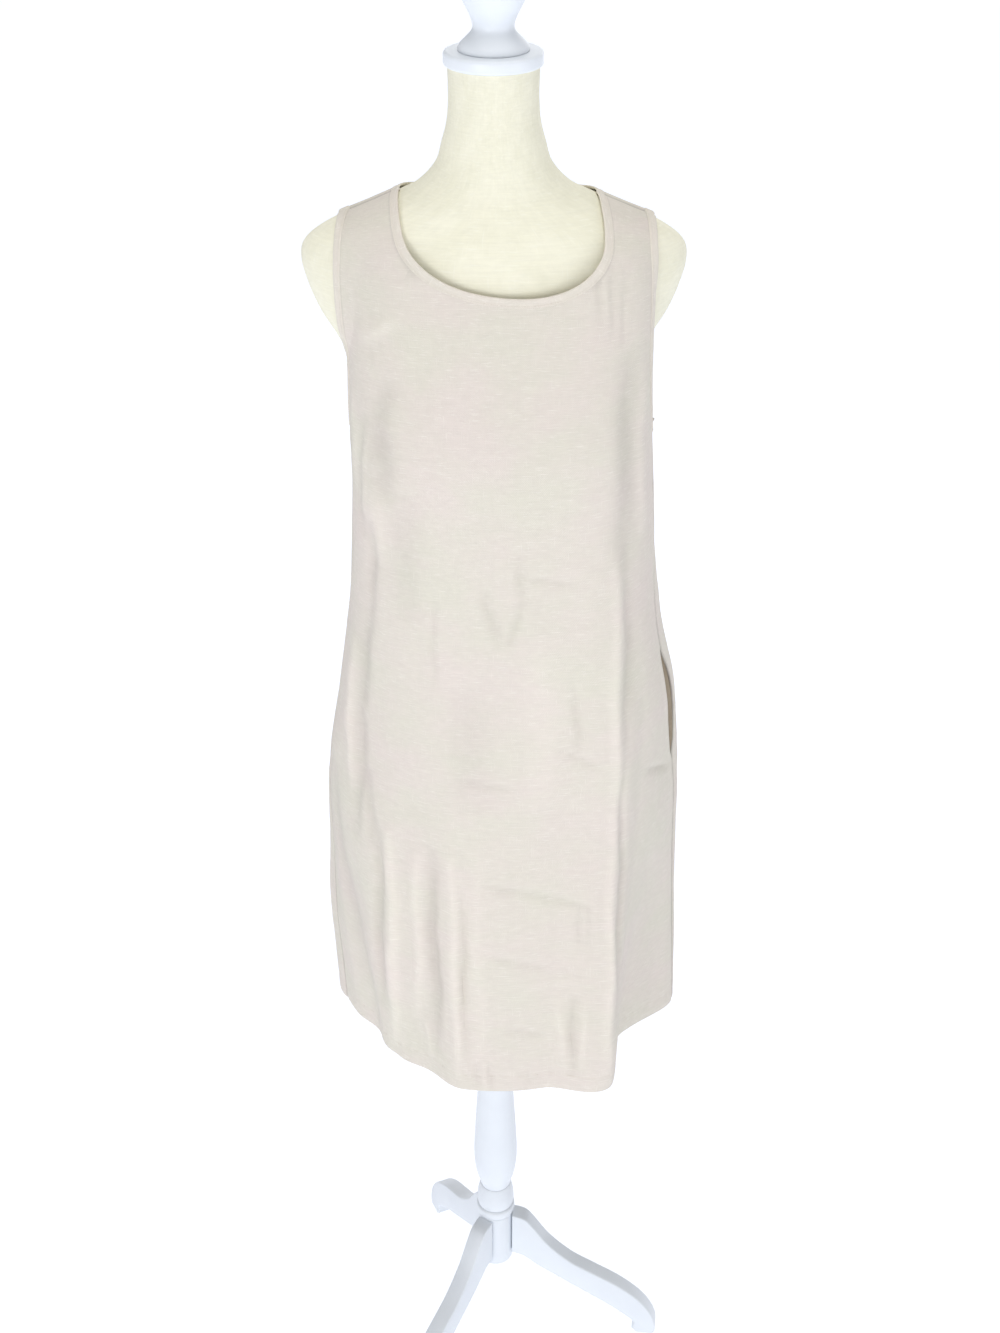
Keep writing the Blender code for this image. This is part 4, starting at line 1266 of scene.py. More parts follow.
        rows = self.armhole_rows - self.cut.strap_rows
        left_turn = self.cut.strap_rows
        right_turn = left_turn + self.cut.neck_columns
        columns = self.strap_columns
        left_chest = np.linspace(left_inset[rows], neck_inset[left_turn], columns + 1)
        right_chest = np.linspace(neck_inset[right_turn], right_inset[rows], columns + 1)
        top = np.vstack([left_chest[:-1], neck_inset[left_turn:right_turn + 1], right_chest[1:]])
        left = np.vstack([left_seam[:-1], left_inset[:rows + 1]])
        right = np.vstack([right_seam[:-1], right_inset[:rows + 1]])
        bottom = np.linspace(left[0], right[0], len(top))
        body = self.add_block(self.smoothed(self.fill(bottom, top, left, right)))
        left_top = np.linspace(left_inset[-1], neck_inset[0], columns + 1)
        left_strap = self.add_block(
            self.fill(left_chest, left_top, left_inset[rows:], neck_inset[left_turn::-1]),
            body[-1][:columns + 1],
        )
        right_top = np.linspace(neck_inset[-1], right_inset[-1], columns + 1)
        right_strap = self.add_block(
            self.fill(right_chest, right_top, neck_inset[right_turn:], right_inset[rows:]),
            body[-1][-columns - 1:],
        )

        neck_line = [line[-1] for line in reversed(left_strap)]
        neck_line += [*body[-1][columns + 1:-columns - 1], *(line[0] for line in right_strap)]
        left_line = [line[0] for line in body[self.side_rows:] + left_strap[1:]]
        right_line = [line[-1] for line in body[self.side_rows:] + right_strap[1:]]
        for edge, places, line, turned in (
            (PanelEdge.NECK, neck, neck_line, True),
            (PanelEdge.LOW_ARMHOLE, left_hole, left_line, True),
            (PanelEdge.HIGH_ARMHOLE, right_hole, right_line, False),
        ):
            numbers = np.array(line)
            self.edges[edge] = (self.add_strip(places, numbers, turned), numbers)


@dataclass(frozen=True)
class Waver:
    """A sideways waver of creases: its reach, its turns up a metre, and its turn from one to
    the next."""

    reach: float
    pace: float
    turn: float


@dataclass(frozen=True)
class Rumple:
    """Soft unevenness of one size: its pace both ways, its place in the noise and its lift."""

    weft: float
    warp: float
    slice: float
    lift: float


@dataclass(frozen=True)
class LaidPanel:
    """A panel laid on the form: outer and inner points, directions out of it, and its painted
    shade.
    """

    panel: Panel
    outer: np.ndarray
    inner: np.ndarray
    normals: np.ndarray
    shade: np.ndarray

    def along(self, edge: PanelEdge, turned: bool) -> list[np.ndarray]:
        """Follow one of the panel's edges.

        Args:
            edge: Which one.
            turned: Whether to go from its last point to its first.

        Returns:
            Points of the edge and of its inset, and the directions out of the cloth at both.
        """
        order = slice(None, None, -1 if turned else None)
        lines = self.panel.edges[edge]
        return [values[line][order] for values in (self.outer, self.normals) for line in lines]


@dataclass
class ClothSurface:
    """Turns a panel's places into points: folds, creases, rumples, seams, and rest on the form."""

    shape: DressShape
    pocket: Pocket
    form_tree: BVHTree
    creases: tuple[Crease, ...] = CREASES
    wavers: tuple[Waver, ...] = (Waver(0.0017, 37.0, 1.7), Waver(0.0006, 113.0, 2.9))
    rumples: tuple[Rumple, ...] = (
        Rumple(22.0, 11.0, 3.1, 0.0011), Rumple(46.0, 70.0, 7.7, 0.00030)
    )
    # Creases show where the cloth faces their side by this much, and fully by this much more
    facing_from: float = 0.05
    facing_over: float = 0.35
    crease_taper: float = 0.6
    # Creases and rumples come in over this length of cloth below the shoulder seam
    calm_length: float = 0.03
    cloth: float = 0.0011
    # Clear of the form by this much, from this height up. Closer than the third, a point may
    # be inside the form, and is moved along the form's own direction outwards.
    rest_height: float = 0.0034
    rest_from: float = 1.0
    inside_gap: float = 0.0005
    roll_width: float = 0.0035
    roll_depth: float = 0.0014
    hem_depth: float = 0.022
    hem_thickness: float = 0.0007
    # The hem's stitched line, the puckers along it and the roll of its edge
    line_width: float = 0.0016
    line_depth: float = 0.00035
    pucker_radians: float = 0.0021
    pucker_reach: float = 0.011
    pucker_lift: float = 0.00018
    hem_roll_width: float = 0.004
    hem_roll_depth: float = 0.0006
    same_angle: float = 0.0005
    same_height: float = 0.001
    strap_from: float = 1.5
    # How far the two lips of the pocket's mouth stand out, and over what width
    lip_width: float = 0.012
    front_lip: float = 0.0012
    back_lip: float = 0.0026
    # Above this height the cloth settles down on the form, by at most this depth
    settle_from: float = 1.535
    settle_depth: float = 0.005
    # Painted shade and light for a metre of lift and its limits (troughs darker, ridges paler),
    # painted shade right at a seam, and beside a binding
    fold_contrast: float = 26.0
    fold_darkest: float = -0.20
    fold_palest: float = 0.07
    seam_painted_shade: float = 0.34
    seam_width: float = 0.0014
    band_painted_shade: float = 0.13
    band_fades: int = 14

    def crease_lift(self, points: np.ndarray, normals: np.ndarray) -> np.ndarray:
        """How far the small creases lift the cloth.

        Args:
            points: Points of the cloth.
            normals: Directions out of it.

        Returns:
            Lifts in metres.
        """
        lift = np.zeros(len(points))
        ways = {
            Face.FRONT: (0, -normals[:, 1]),
            Face.BACK: (0, normals[:, 1]),
            Face.POCKET_SIDE: (1, normals[:, 0]),
            Face.PLAIN_SIDE: (1, -normals[:, 0]),
        }
        for number, crease in enumerate(self.creases):
            side, facing = ways[crease.face]
            seen = ease((facing - self.facing_from) / self.facing_over)
            sideways = points[:, side].copy()
            for waver in self.wavers:
                sideways += waver.reach * np.sin(points[:, 2] * waver.pace + number * waver.turn)
            flat = np.stack([sideways, points[:, 2]], axis=1)
            start = np.array(crease.start)
            line = np.array(crease.end) - start
            inside = np.clip((flat - start) @ line / (line @ line), 0.0, 1.0)
            away = np.linalg.norm(flat - start - inside[:, None] * line, axis=1)
            taper = np.sin(np.pi * inside) ** self.crease_taper
            lift += crease.lift * taper * seen * np.exp(-((away / crease.width) ** 2))
        return lift

    def rumple_lift(self, chart: np.ndarray) -> np.ndarray:
        """Soft unevenness of cloth that has been worn and hung.

        Args:
            chart: Places on the flat cloth.

        Returns:
            Lifts in metres.
        """
        return np.array([
            sum(
                size.lift * noise.noise(Vector((weft * size.weft, warp * size.warp, size.slice)))
                for size in self.rumples
            )
            for weft, warp in chart
        ])

    def edge_relief(self, panel: Panel, arc: np.ndarray, rise: np.ndarray) -> np.ndarray:
        """Seam rolls, the pocket's folded lip and the hem's stitched line.

        Args:
            panel: The panel.
            arc: Metres of cloth for a degree, at each place.
            rise: Metres of cloth for a metre of height, at each place.

        Returns:
            Lifts in metres.
        """
        angle, height = panel.places[:, 0], panel.places[:, 1]
        low, high = panel.seam_angles(height)
        from_low, from_high = (angle - low) * arc, (high - angle) * arc
        below = height < UNDERARM + self.same_height
        on_strap = height > self.strap_from
        top = (SHOULDER - height) * rise
        lift = np.zeros(len(angle))
        for distance, here in ((from_high, below), (from_low, below), (top, on_strap)):
            roll = self.roll_depth * (1 - ease(distance / self.roll_width))
            lift -= np.where(here, roll, 0.0)
        lip = self.front_lip if panel.cut.front else self.back_lip
        pocket_side = from_high if panel.cut.front else from_low
        lift += self.pocket.mouth(height) * lip * (1 - ease(pocket_side / self.lip_width))
        over_line = height - HEM - self.hem_depth
        pucker = np.sin(np.radians(angle) * self.shape.chart_radius / self.pucker_radians)
        lift -= self.line_depth * np.exp(-((over_line / self.line_width) ** 2))
        lift += self.pucker_lift * pucker * np.exp(-((over_line / self.pucker_reach) ** 2))
        return lift - self.hem_roll_depth * (1 - ease((height - HEM) / self.hem_roll_width))

    def seam_shade(self, panel: Panel, arc: np.ndarray, rise: np.ndarray) -> np.ndarray:
        """Painted shade right at the side and shoulder seams: how much darker the cloth is painted
        there.

        Args:
            panel: The panel.
            arc: Metres of cloth for a degree, at each place.
            rise: Metres of cloth for a metre of height, at each place.

        Returns:
            Painted shades, 0 away from the seams.
        """
        angle, height = panel.places[:, 0], panel.places[:, 1]
        low, high = panel.seam_angles(height)
        sideways = np.minimum(high - angle, angle - low) * arc
        side = np.exp(-((sideways / self.seam_width) ** 2))
        side = np.where(height < UNDERARM + self.same_height, side, 0.0)
        top = np.exp(-(((SHOULDER - height) * rise / self.seam_width) ** 2))
        return -self.seam_painted_shade * np.maximum(side, top)

    def rest(self, points: np.ndarray, height: np.ndarray) -> None:
        """Rest the cloth on the form: out of it everywhere, and down on it at the shoulders.

        Args:
            points: Points of the cloth, which are moved.
            height: Their heights down the side line.
        """
        settled = ease((height - self.settle_from) / (SHOULDER - self.settle_from))
        for index in np.nonzero(height > self.rest_from)[0]:
            point = Vector(points[index])
            near, outward, _, _ = self.form_tree.find_nearest(point)
            gap = (point - near).dot(outward)
            if gap > self.inside_gap:
                outward = (point - near).normalized()
                gap = (point - near).length
            short = self.rest_height - gap
            if short < 0:
                short = max(short, -self.settle_depth) * settled[index]
            points[index] += np.array(outward) * short

    def lay(self, panel: Panel) -> LaidPanel:
        """Lay a panel on the form.

        Args:
            panel: The panel, laid out.

        Returns:
            The panel with its points, its directions and the painted shade of its folds and seams.
        """
        places = panel.places
        angle, height = places[:, 0], places[:, 1]
        across, along = self.shape.slopes(places)
        arc, rise = np.linalg.norm(across, axis=1), np.linalg.norm(along, axis=1)
        normals = self.shape.normal(places)
        points = self.shape.point(angle, height)
        side = -1.0 if panel.cut.front else 1.0
        points[:, 1] += np.where(height >= SHOULDER - TINY, side * SEAM_GAP / 2, 0.0)
        below = height < UNDERARM + TINY
        low, high = panel.seam_angles(height)
        left = below & (angle < low + self.same_angle)
        right = below & (angle > high - self.same_angle)
        shift = (left.astype(float) - right.astype(float)) * SEAM_GAP / 2
        points = points + unit_rows(across) * shift[:, None]
        creases = self.crease_lift(points, normals)
        calm = ease((SHOULDER - height) * rise / self.calm_length)
        lift = (creases + self.rumple_lift(self.shape.chart(places))) * calm
        points = points + normals * lift[:, None]
        self.rest(points, height)
        points = points + normals * self.edge_relief(panel, arc, rise)[:, None]
        thickness = self.cloth + self.hem_thickness * (height < HEM + self.hem_depth)
        # Painted shade in the crease troughs and painted light along their ridges, then painted
        # shade at the seams
        shade = np.clip(creases * calm * self.fold_contrast, self.fold_darkest, self.fold_palest)
        shade = shade + self.seam_shade(panel, arc, rise)
        # Painted shade: a soft dark line just outside each binding, for the shadow under its
        # ledge; round the neck it fades out past the straps.
        for edge, (_, inset) in panel.edges.items():
            strength = 1.0
            if edge is PanelEdge.NECK:
                order = np.arange(len(inset))
                from_end = np.minimum(order, order[::-1]) - panel.cut.strap_rows
                strength = 1 - ease(from_end / self.band_fades)
            shade[inset] -= self.band_painted_shade * strength
        inner = points - normals * thickness[:, None]
        return LaidPanel(panel, points, inner, normals, shade)


def closed_wall(
    outer: np.ndarray, inner: np.ndarray, cells: Sequence[Sequence[int]]
) -> tuple[np.ndarray, list[tuple[int, ...]]]:
    """Join an outer and an inner face, with rims between them.

    Args:
        outer: Points of the outer face.
        inner: Points of the inner face, in the same order.
        cells: Four-sided cells of the outer face.

    Returns:
        All the points, and the faces.
    """
    count = len(outer)
    edges = {(cell[n], cell[(n + 1) % 4]) for cell in cells for n in range(4)}
    faces = [tuple(cell) for cell in cells]
    faces += [tuple(count + number for number in reversed(cell)) for cell in cells]
    faces += [(b, a, count + a, count + b) for a, b in sorted(edges) if (b, a) not in edges]
    return np.vstack([outer, inner]), faces


@dataclass
class Stitching:
    """Rows of machine stitches, made as small rounded pieces of thread that lie on the cloth."""

    pitch: float = 0.0031
    length: float = 0.0023
    radius: float = 0.00026
    sides: int = 6
    # Each stitch from end to end: the place along it and the girth there, as shares
    rings: tuple[tuple[float, float], ...] = (
        (-0.5, 0.35), (-0.36, 0.9), (0.0, 1.0), (0.36, 0.9), (0.5, 0.35)
    )
    # Height of its middle over the cloth, in radii, and how flat it is
    stands: float = 0.6
    flatness: float = 0.7
    points: list[np.ndarray] = field(default_factory=list)
    faces: list[tuple[int, ...]] = field(default_factory=list)

    def sew(self, line: np.ndarray, normals: np.ndarray) -> None:
        """Sew along a line.

        Args:
            line: Points that the stitches follow.
            normals: Directions out of the cloth there.
        """
        run = run_along(line)
        count = int(run[-1] / self.pitch)
        middles = (np.arange(count) + 0.5) * run[-1] / count
        step = self.pitch / 4

        def read(values: np.ndarray, at: np.ndarray) -> np.ndarray:
            """Values along the line, at distances along it."""
            return np.stack([np.interp(at, run, values[:, side]) for side in range(3)], axis=1)

        centre = read(line, middles)
        up = unit_rows(read(normals, middles))
        along = unit_rows(read(line, middles + step) - read(line, middles - step))
        sideways = np.cross(up, along)
        turns = np.arange(self.sides) * 2 * math.pi / self.sides
        faces = capped_rings(len(self.rings), self.sides)
        for middle, out, way, side in zip(centre, up, along, sideways):
            first = len(self.points) * len(self.rings) * self.sides
            block = []
            for place, size in self.rings:
                core = middle + way * place * self.length + out * (self.stands * self.radius)
                for turn in turns:
                    offset = side * math.cos(turn) + out * (self.flatness * math.sin(turn))
                    block.append(core + offset * self.radius * size)
            self.points.append(np.array(block))
            self.faces += [tuple(first + number for number in face) for face in faces]

    def piece(self, name: str, material: bpy.types.Material) -> bpy.types.Object:
        """Make the stitches one piece.

        Args:
            name: The piece's name.
            material: The thread.

        Returns:
            The new object.
        """
        points = np.vstack(self.points)
        return mesh_piece(name, points, self.faces, material, points[:, [0, 2]])


@dataclass(frozen=True)
class BoundEdge:
    """Edge that a binding goes round, its inset, and the directions out of the cloth at both."""

    edge: np.ndarray
    inset: np.ndarray
    edge_out: np.ndarray
    inset_out: np.ndarray

    def out(self, inwards: float) -> np.ndarray:
        """Directions out of the cloth, some way in from the edge."""
        part = inwards / BINDING_WIDTH
        return unit_rows(self.edge_out * (1 - part) + self.inset_out * part)

    def line(self, inwards: float, height: float) -> np.ndarray:
        """Points some way in from the edge, and some height over the cloth."""
        part = inwards / BINDING_WIDTH
        return self.edge + (self.inset - self.edge) * part + self.out(inwards) * height


@dataclass
class Dress:
    """The dress: two panels, three bindings, the pocket's bag and the stitching."""

    form_tree: BVHTree
    shape: DressShape = field(default_factory=DressShape)
    pocket: Pocket = field(default_factory=Pocket)
    cuts: tuple[PanelCut, ...] = (
        PanelCut(
            "front_panel", "dress_front", True,
            Neckline(0.028, 1.5070, 0.117, 92.0, 0.076, 113.0), Armhole(25.0, 122.0, 0.8),
            neck_columns=148, neck_turn=58.0, strap_rows=28, flat=(0.60, 1.03), flat_area=0.48,
        ),
        PanelCut(
            "back_panel", "dress_back", False,
            Neckline(0.005, 1.5470, 0.094, 90.0, 0.093, 90.0), Armhole(24.0, 113.0, 0.8),
            neck_columns=120, neck_turn=45.0, strap_rows=16, flat=(0.56, 1.03), flat_area=0.46,
        ),
    )
    # Binding in section: distance in from the edge and height over the cloth's outer face
    binding_profile: tuple[tuple[float, float], ...] = (
        (0.0080, -0.00020), (0.0079, 0.00045), (0.0073, 0.00070), (0.0050, 0.00078),
        (0.0028, 0.00082), (0.0012, 0.00078), (0.0002, 0.00055), (-0.0006, 0.00010),
        (-0.0009, -0.00055), (-0.0006, -0.00120), (0.0004, -0.00165), (0.0025, -0.00180),
        (0.0060, -0.00185), (0.0078, -0.00170), (0.0078, -0.00120), (0.0040, -0.00116),
        (0.0003, -0.00100), (-0.0002, -0.00055), (0.0003, -0.00010), (0.0040, -0.00002),
    )
    binding_strip: float = 0.0185
    binding_depth: float = -0.00185
    # Round the neck the outside is pressed to this share of its height, this far from the edge
    neck_pressed: float = 0.42
    neck_pressed_from: float = 0.004
    # Row of stitches along a binding: how far in and how high it lies
    stitch_inset: float = 0.0064
    stitch_height: float = 0.00072
    # Bump of the side seam's allowance under the arm
    nub_width: float = 0.0042
    nub_reach: float = 0.0030
    nub_fades: float = 0.006
    nub_overhang: float = 0.4
    # Row of stitches along the hem: degrees left free at its ends, and places that it follows
    hem_free: float = 0.6
    hem_samples: int = 400
    # The pocket's bag: its flat cut, its cells, and how it lies under the panels
    bag_flat: tuple[float, float] = (0.115, 0.236)
    bag_flat_area: float = 0.0215
    bag_columns: int = 36
    bag_rows: int = 60
    bag_under: float = 0.0015
    bag_wall: float = 0.0008
    bag_gap: float = 0.0010
    bag_slack: float = 0.0022
    bag_ripple: float = 0.0004
    bag_ripple_pace: float = 140.0
    lip_blend: float = 0.03
    lip_least: float = 0.01
    under_lip: float = 0.0012

    def build(self) -> None:
        """Cut, lay, sew and dress every piece."""
        linen = OATMEAL_LINEN.material()
        surface = ClothSurface(self.shape, self.pocket, self.form_tree)
        sides = {}
        for cut in self.cuts:
            panel = Panel(self.shape, self.pocket, cut)
            panel.lay_out()
            laid = surface.lay(panel)
            points, faces = closed_wall(laid.outer, laid.inner, panel.cells)
            chart = self.shape.chart(panel.places)
            piece = mesh_piece(cut.name, points, faces, linen, np.vstack([chart, chart]))
            # Painted shade and light of the folds, seams and binding edges, on both faces of the
            # wall
            layer = piece.data.attributes.new(PAINTED_FOLD_SHADE, "FLOAT", "POINT")
            layer.data.foreach_set("value", np.tile(laid.shade, 2).astype(np.float32))
            put_on(piece, "linen", cut.node)
            sides[cut.front] = laid
        seams = self.bind(sides[True], sides[False])
        for laid in sides.values():
            self.sew_hem(laid.panel, surface, seams)
        put_on(seams.piece("topstitching", SEWING_THREAD.material()), "linen_binding")
        bags = self.make_bag(surface)

    def bind(self, front: LaidPanel, back: LaidPanel) -> Stitching:
        """Turn the bindings over the neckline and the armholes.

        Args:
            front: The front panel on the form.
            back: The back panel on the form.

        Returns:
            The stitching, with a row along each binding.
        """
        material = TURNED_LINEN.material()
        high, low = PanelEdge.HIGH_ARMHOLE, PanelEdge.LOW_ARMHOLE
        loops = {
            ("neck_edge_binding", "neck_binding"): (
                front.along(PanelEdge.NECK, False), back.along(PanelEdge.NECK, False)
            ),
            ("pocket_side_armhole_binding", "armhole_binding_pocket_side"): (
                front.along(high, False), back.along(low, True)
            ),
            ("plain_side_armhole_binding", "armhole_binding_plain_side"): (
                back.along(high, False), front.along(low, True)
            ),
        }
        seams = Stitching()
        for (name, node), parts in loops.items():
            bound = BoundEdge(*(np.vstack(pair) for pair in zip(*parts)))
            self.wrap(name, node, bound, material)
            line = bound.line(
                self.stitch_inset, self.raised(self.stitch_inset, self.stitch_height, node)
            )
            out = bound.out(self.stitch_inset)
            seams.sew(np.vstack([line, line[:1]]), np.vstack([out, out[:1]]))
        return seams

    def raised(self, inwards: float, height: float, node: str) -> float:
        """Height of a binding's outside, which is pressed flat all round the neck.

        Args:
            inwards: Distance in from the edge.
            height: Height over the cloth, as the binding's section gives it.
            node: The node that the binding stands for.

        Returns:
            The height as pressed.
        """
        if node != "neck_binding" or height <= 0:
            return height
        pressed = min(max(inwards / self.neck_pressed_from, 0.0), 1.0)
        return height * (1 - (1 - self.neck_pressed) * pressed)

    def wrap(self, name: str, node: str, bound: BoundEdge, material: bpy.types.Material) -> None:
        """Sweep the binding's section all round an edge.

        Args:
            name: The piece's name.
            node: The node that it stands for.
            bound: The edge.
            material: The binding's cloth.
        """
        run = run_along(bound.edge)
        nub = np.zeros(len(run))
        if node != "neck_binding":
            # The allowance of the side seam makes a small bump under the arm.
            low = np.argmin(bound.edge[:, 2])
            nub = self.nub_reach * np.exp(-(((run - run[low]) / self.nub_width) ** 2))
        inward = unit_rows(bound.inset - bound.edge)
        rings = []
        charts = []
        reach = 0.0
        previous = self.binding_profile[0]
        for inwards, height in self.binding_profile:
            outside = max(0.0, 1.0 - max(inwards, 0.0) / self.nub_fades)
            lump = nub * outside * (height - self.binding_depth) / -self.binding_depth
            way = bound.out(inwards) - self.nub_overhang * inward
            flat = bound.line(inwards, self.raised(inwards, height, node))
            rings.append(flat + way * lump[:, None])
            reach += math.hypot(inwards - previous[0], height - previous[1])
            previous = (inwards, height)
            charts.append(np.stack([run, np.full_like(run, reach)], axis=1))
        faces = ring_faces(len(rings), len(run), True)
        piece = mesh_piece(name, np.vstack(rings), faces, material, np.vstack(charts))
        put_on(piece, "linen_binding", node)

    def sew_hem(self, panel: Panel, surface: ClothSurface, seams: Stitching) -> None:
        """Sew the hem's row of stitches along a panel.

        Args:
            panel: The panel.
            surface: How it lies.
            seams: The stitching, which the row is added to.
        """
        level = HEM + surface.hem_depth
        start, end = (float(side[0]) for side in panel.seam_angles(np.array([level])))
        angles = np.linspace(start + self.hem_free, end - self.hem_free, self.hem_samples)
        places = np.stack([angles, np.full_like(angles, level)], axis=1)
        normals = self.shape.normal(places)
        points = self.shape.point(angles, places[:, 1])
        lift = surface.crease_lift(points, normals) - surface.line_depth
        lift += surface.rumple_lift(self.shape.chart(places))
        seams.sew(points + normals * lift[:, None], normals)

    def make_bag(self, surface: ClothSurface) -> list[bpy.types.Object]:
        """Make the two sides of the pocket's bag.

        Args:
            surface: How the panels lie over them.

        Returns:
            The side sewn to the front panel, and the one sewn to the back panel.
        """
        material = COTTON_POCKETING.material()
        bags = []
        width = self.bag_columns + 1
        for inner, name, node in (
            (False, "pocket_bag_front_side", "pocket_bag_outer"),
            (True, "pocket_bag_back_side", "pocket_bag_inner"),
        ):
            depth = self.bag_under + self.bag_gap
            if inner:
                depth += self.bag_wall + self.bag_gap
            lines = [
                self.pocket.bag_line(row / self.bag_rows, inner, self.bag_columns)
                for row in range(self.bag_rows + 1)
            ]
            places = np.vstack(lines)
            normals = self.shape.normal(places)
            across = np.tile(np.arange(width) / self.bag_columns, len(lines))
            chart = self.shape.chart(places)
            ripple = self.bag_ripple * np.sin(chart[:, 1] * self.bag_ripple_pace)
            inward = depth + (self.bag_slack + ripple) * ease(2 * across)
            if inner:
                # Sewn to the back panel's lip along the mouth
                level = places[:, 1]
                span = self.pocket.seam(level) - self.pocket.front_edge(level)
                span = span / self.pocket.bag_reach
                near_lip = ease(span / self.lip_blend)
                near_lip *= 1 - ease(across / np.maximum(span, self.lip_least))
                lip = surface.back_lip * self.pocket.mouth(level)
                at_lip = surface.cloth + self.under_lip - lip
                inward = inward * (1 - near_lip) + at_lip * near_lip
            outer = self.shape.point(places[:, 0], places[:, 1]) - normals * inward[:, None]
            cells = [
                (first + 1, first, first + width, first + width + 1)
                for row in range(self.bag_rows)
                for first in range(row * width, row * width + self.bag_columns)
            ]
            points, faces = closed_wall(outer, outer - normals * self.bag_wall, cells)
            piece = mesh_piece(name, points, faces, material, np.vstack([chart, chart]))
            put_on(piece, "pocket_cloth", node)
            bags.append(piece)
        return bags


@dataclass(frozen=True)
class FormSection:
    """Level section of the dress form: half width, depths and squareness."""

    height: float
    reach: float
    front: float
    back: float
    square: float


@dataclass
class DressForm:
    """The limbless form: a smooth loft through level sections, closed at neck and hips."""

    sections: tuple[FormSection, ...] = (
        FormSection(1.6980, 0.0425, 0.0425, 0.0425, 2.0),
        FormSection(1.6700, 0.0420, 0.0425, 0.0420, 2.0),
        FormSection(1.6480, 0.0438, 0.0440, 0.0425, 2.0),
        FormSection(1.6300, 0.0485, 0.0455, 0.0435, 2.0),
        FormSection(1.6090, 0.0555, 0.0490, 0.0460, 2.0),
        FormSection(1.5890, 0.0750, 0.0550, 0.0500, 2.0),
        FormSection(1.5785, 0.0975, 0.0600, 0.0510, 2.0),
        FormSection(1.5665, 0.1260, 0.0650, 0.0525, 2.0),
        FormSection(1.5535, 0.1580, 0.0710, 0.0570, 1.9),
        FormSection(1.5375, 0.1800, 0.0780, 0.0670, 1.8),
        FormSection(1.5200, 0.1850, 0.0850, 0.0750, 1.8),
        FormSection(1.4950, 0.1795, 0.0930, 0.0840, 1.85),
        FormSection(1.4700, 0.1690, 0.0990, 0.0900, 1.95),
        FormSection(1.4450, 0.1525, 0.1050, 0.0950, 2.15),
        FormSection(1.4100, 0.1365, 0.1140, 0.0980, 2.4),
        FormSection(1.3520, 0.1350, 0.1240, 0.1020, 2.5),
        FormSection(1.3000, 0.1340, 0.1200, 0.0980, 2.4),
        FormSection(1.2200, 0.1280, 0.1040, 0.0880, 2.3),
        FormSection(1.1300, 0.1200, 0.0920, 0.0790, 2.2),
        FormSection(1.0400, 0.1340, 0.1010, 0.0930, 2.2),
        FormSection(0.9700, 0.1520, 0.1110, 0.1070, 2.2),
        FormSection(0.9150, 0.1600, 0.1160, 0.1120, 2.2),
        FormSection(0.8880, 0.1590, 0.1150, 0.1110, 2.2),
        FormSection(0.8800, 0.1520, 0.1080, 0.1040, 2.2),
    )
    columns: int = 144
    rows_between: int = 6
    chart_radius: float = 0.15

    def rings(self) -> np.ndarray:
        """Points of the form, ring by ring from the top.

        Returns:
            An array of rings by points by three.
        """
        tops = [section.height for section in self.sections]
        heights = np.concatenate(
            [np.linspace(a, b, self.rows_between, endpoint=False) for a, b in zip(tops, tops[1:])]
            + [tops[-1:]]
        )
        turn = np.radians(180.0 + np.arange(self.columns) * 360.0 / self.columns)
        level = heights[:, None] * np.ones_like(turn)
        square = smooth_values(self.sections, "square", level)
        size = (np.abs(np.sin(turn)) ** square + np.abs(np.cos(turn)) ** square) ** (1 / square)
        forwards = np.cos(turn) / size
        depth = np.where(
            forwards > 0,
            smooth_values(self.sections, "front", level),
            smooth_values(self.sections, "back", level),
        )
        x = smooth_values(self.sections, "reach", level) * np.sin(turn) / size
        return np.stack([x, -depth * forwards, level], axis=2)

    def build(self) -> BVHTree:
        """Build the form and dress it.

        Returns:
            A tree of its surface, in metres from the stand's axis.
        """
        rings = self.rings()
        count = len(rings)
        points = rings.reshape(-1, 3)
        sides = ring_faces(count, self.columns)
        last = (count - 1) * self.columns
        caps = [tuple(range(self.columns)), tuple(reversed(range(last, last + self.columns)))]
        girth = 2 * math.pi * self.chart_radius
        across = np.arange(self.columns) * girth / self.columns
        chart = np.stack([np.tile(across, count), points[:, 2]], axis=1)
        cover = COTTON_COVER.material()
        piece = mesh_piece("dress_form_body", points, sides + caps, cover, chart, girth=girth)
        put_on(piece, "form_cover", "dress_form")
        outward = [tuple(reversed(face)) for face in sides]
        return BVHTree.FromPolygons([Vector(point) for point in points], outward)


@dataclass(frozen=True)
class TurnedPiece:
    """A piece turned on a lathe, by radius and height from the top down its outer side."""

    name: str
    node: str
    profile: tuple[tuple[float, float], ...]
    curve_steps: int = 1
    # Number of the profile's point where two turnings meet in a groove, or 0
    groove: int = 0
    sides: int = 96
    chart_radius: float = 0.02

    def build(self, material: bpy.types.Material) -> None:
        """Turn the piece and paint it.

        Args:
            material: The paint.
        """
        profile = np.array(self.profile)
        if self.curve_steps > 1:
            cut = self.groove
            parts = [profile[:cut + 1], profile[cut:]] if cut else [profile]
            runs = [smooth_line(part, self.curve_steps) for part in parts]
            profile = np.vstack([run[:-1] for run in runs[:-1]] + runs[-1:])
        turn = np.radians(np.arange(self.sides) * 360.0 / self.sides)
        circle = np.stack([np.cos(turn), np.sin(turn), np.zeros_like(turn)], axis=1)
        points = np.vstack([circle * radius + (0.0, 0.0, height) for radius, height in profile])
        faces = capped_rings(len(profile), self.sides)
        across = np.tile(turn * self.chart_radius, len(profile))
        chart = np.stack([across, points[:, 2]], axis=1)
        piece = mesh_piece(self.name, points, faces, material, chart, WOOD_SHARP_ANGLE)
        put_on(piece, "white_paint", self.node)


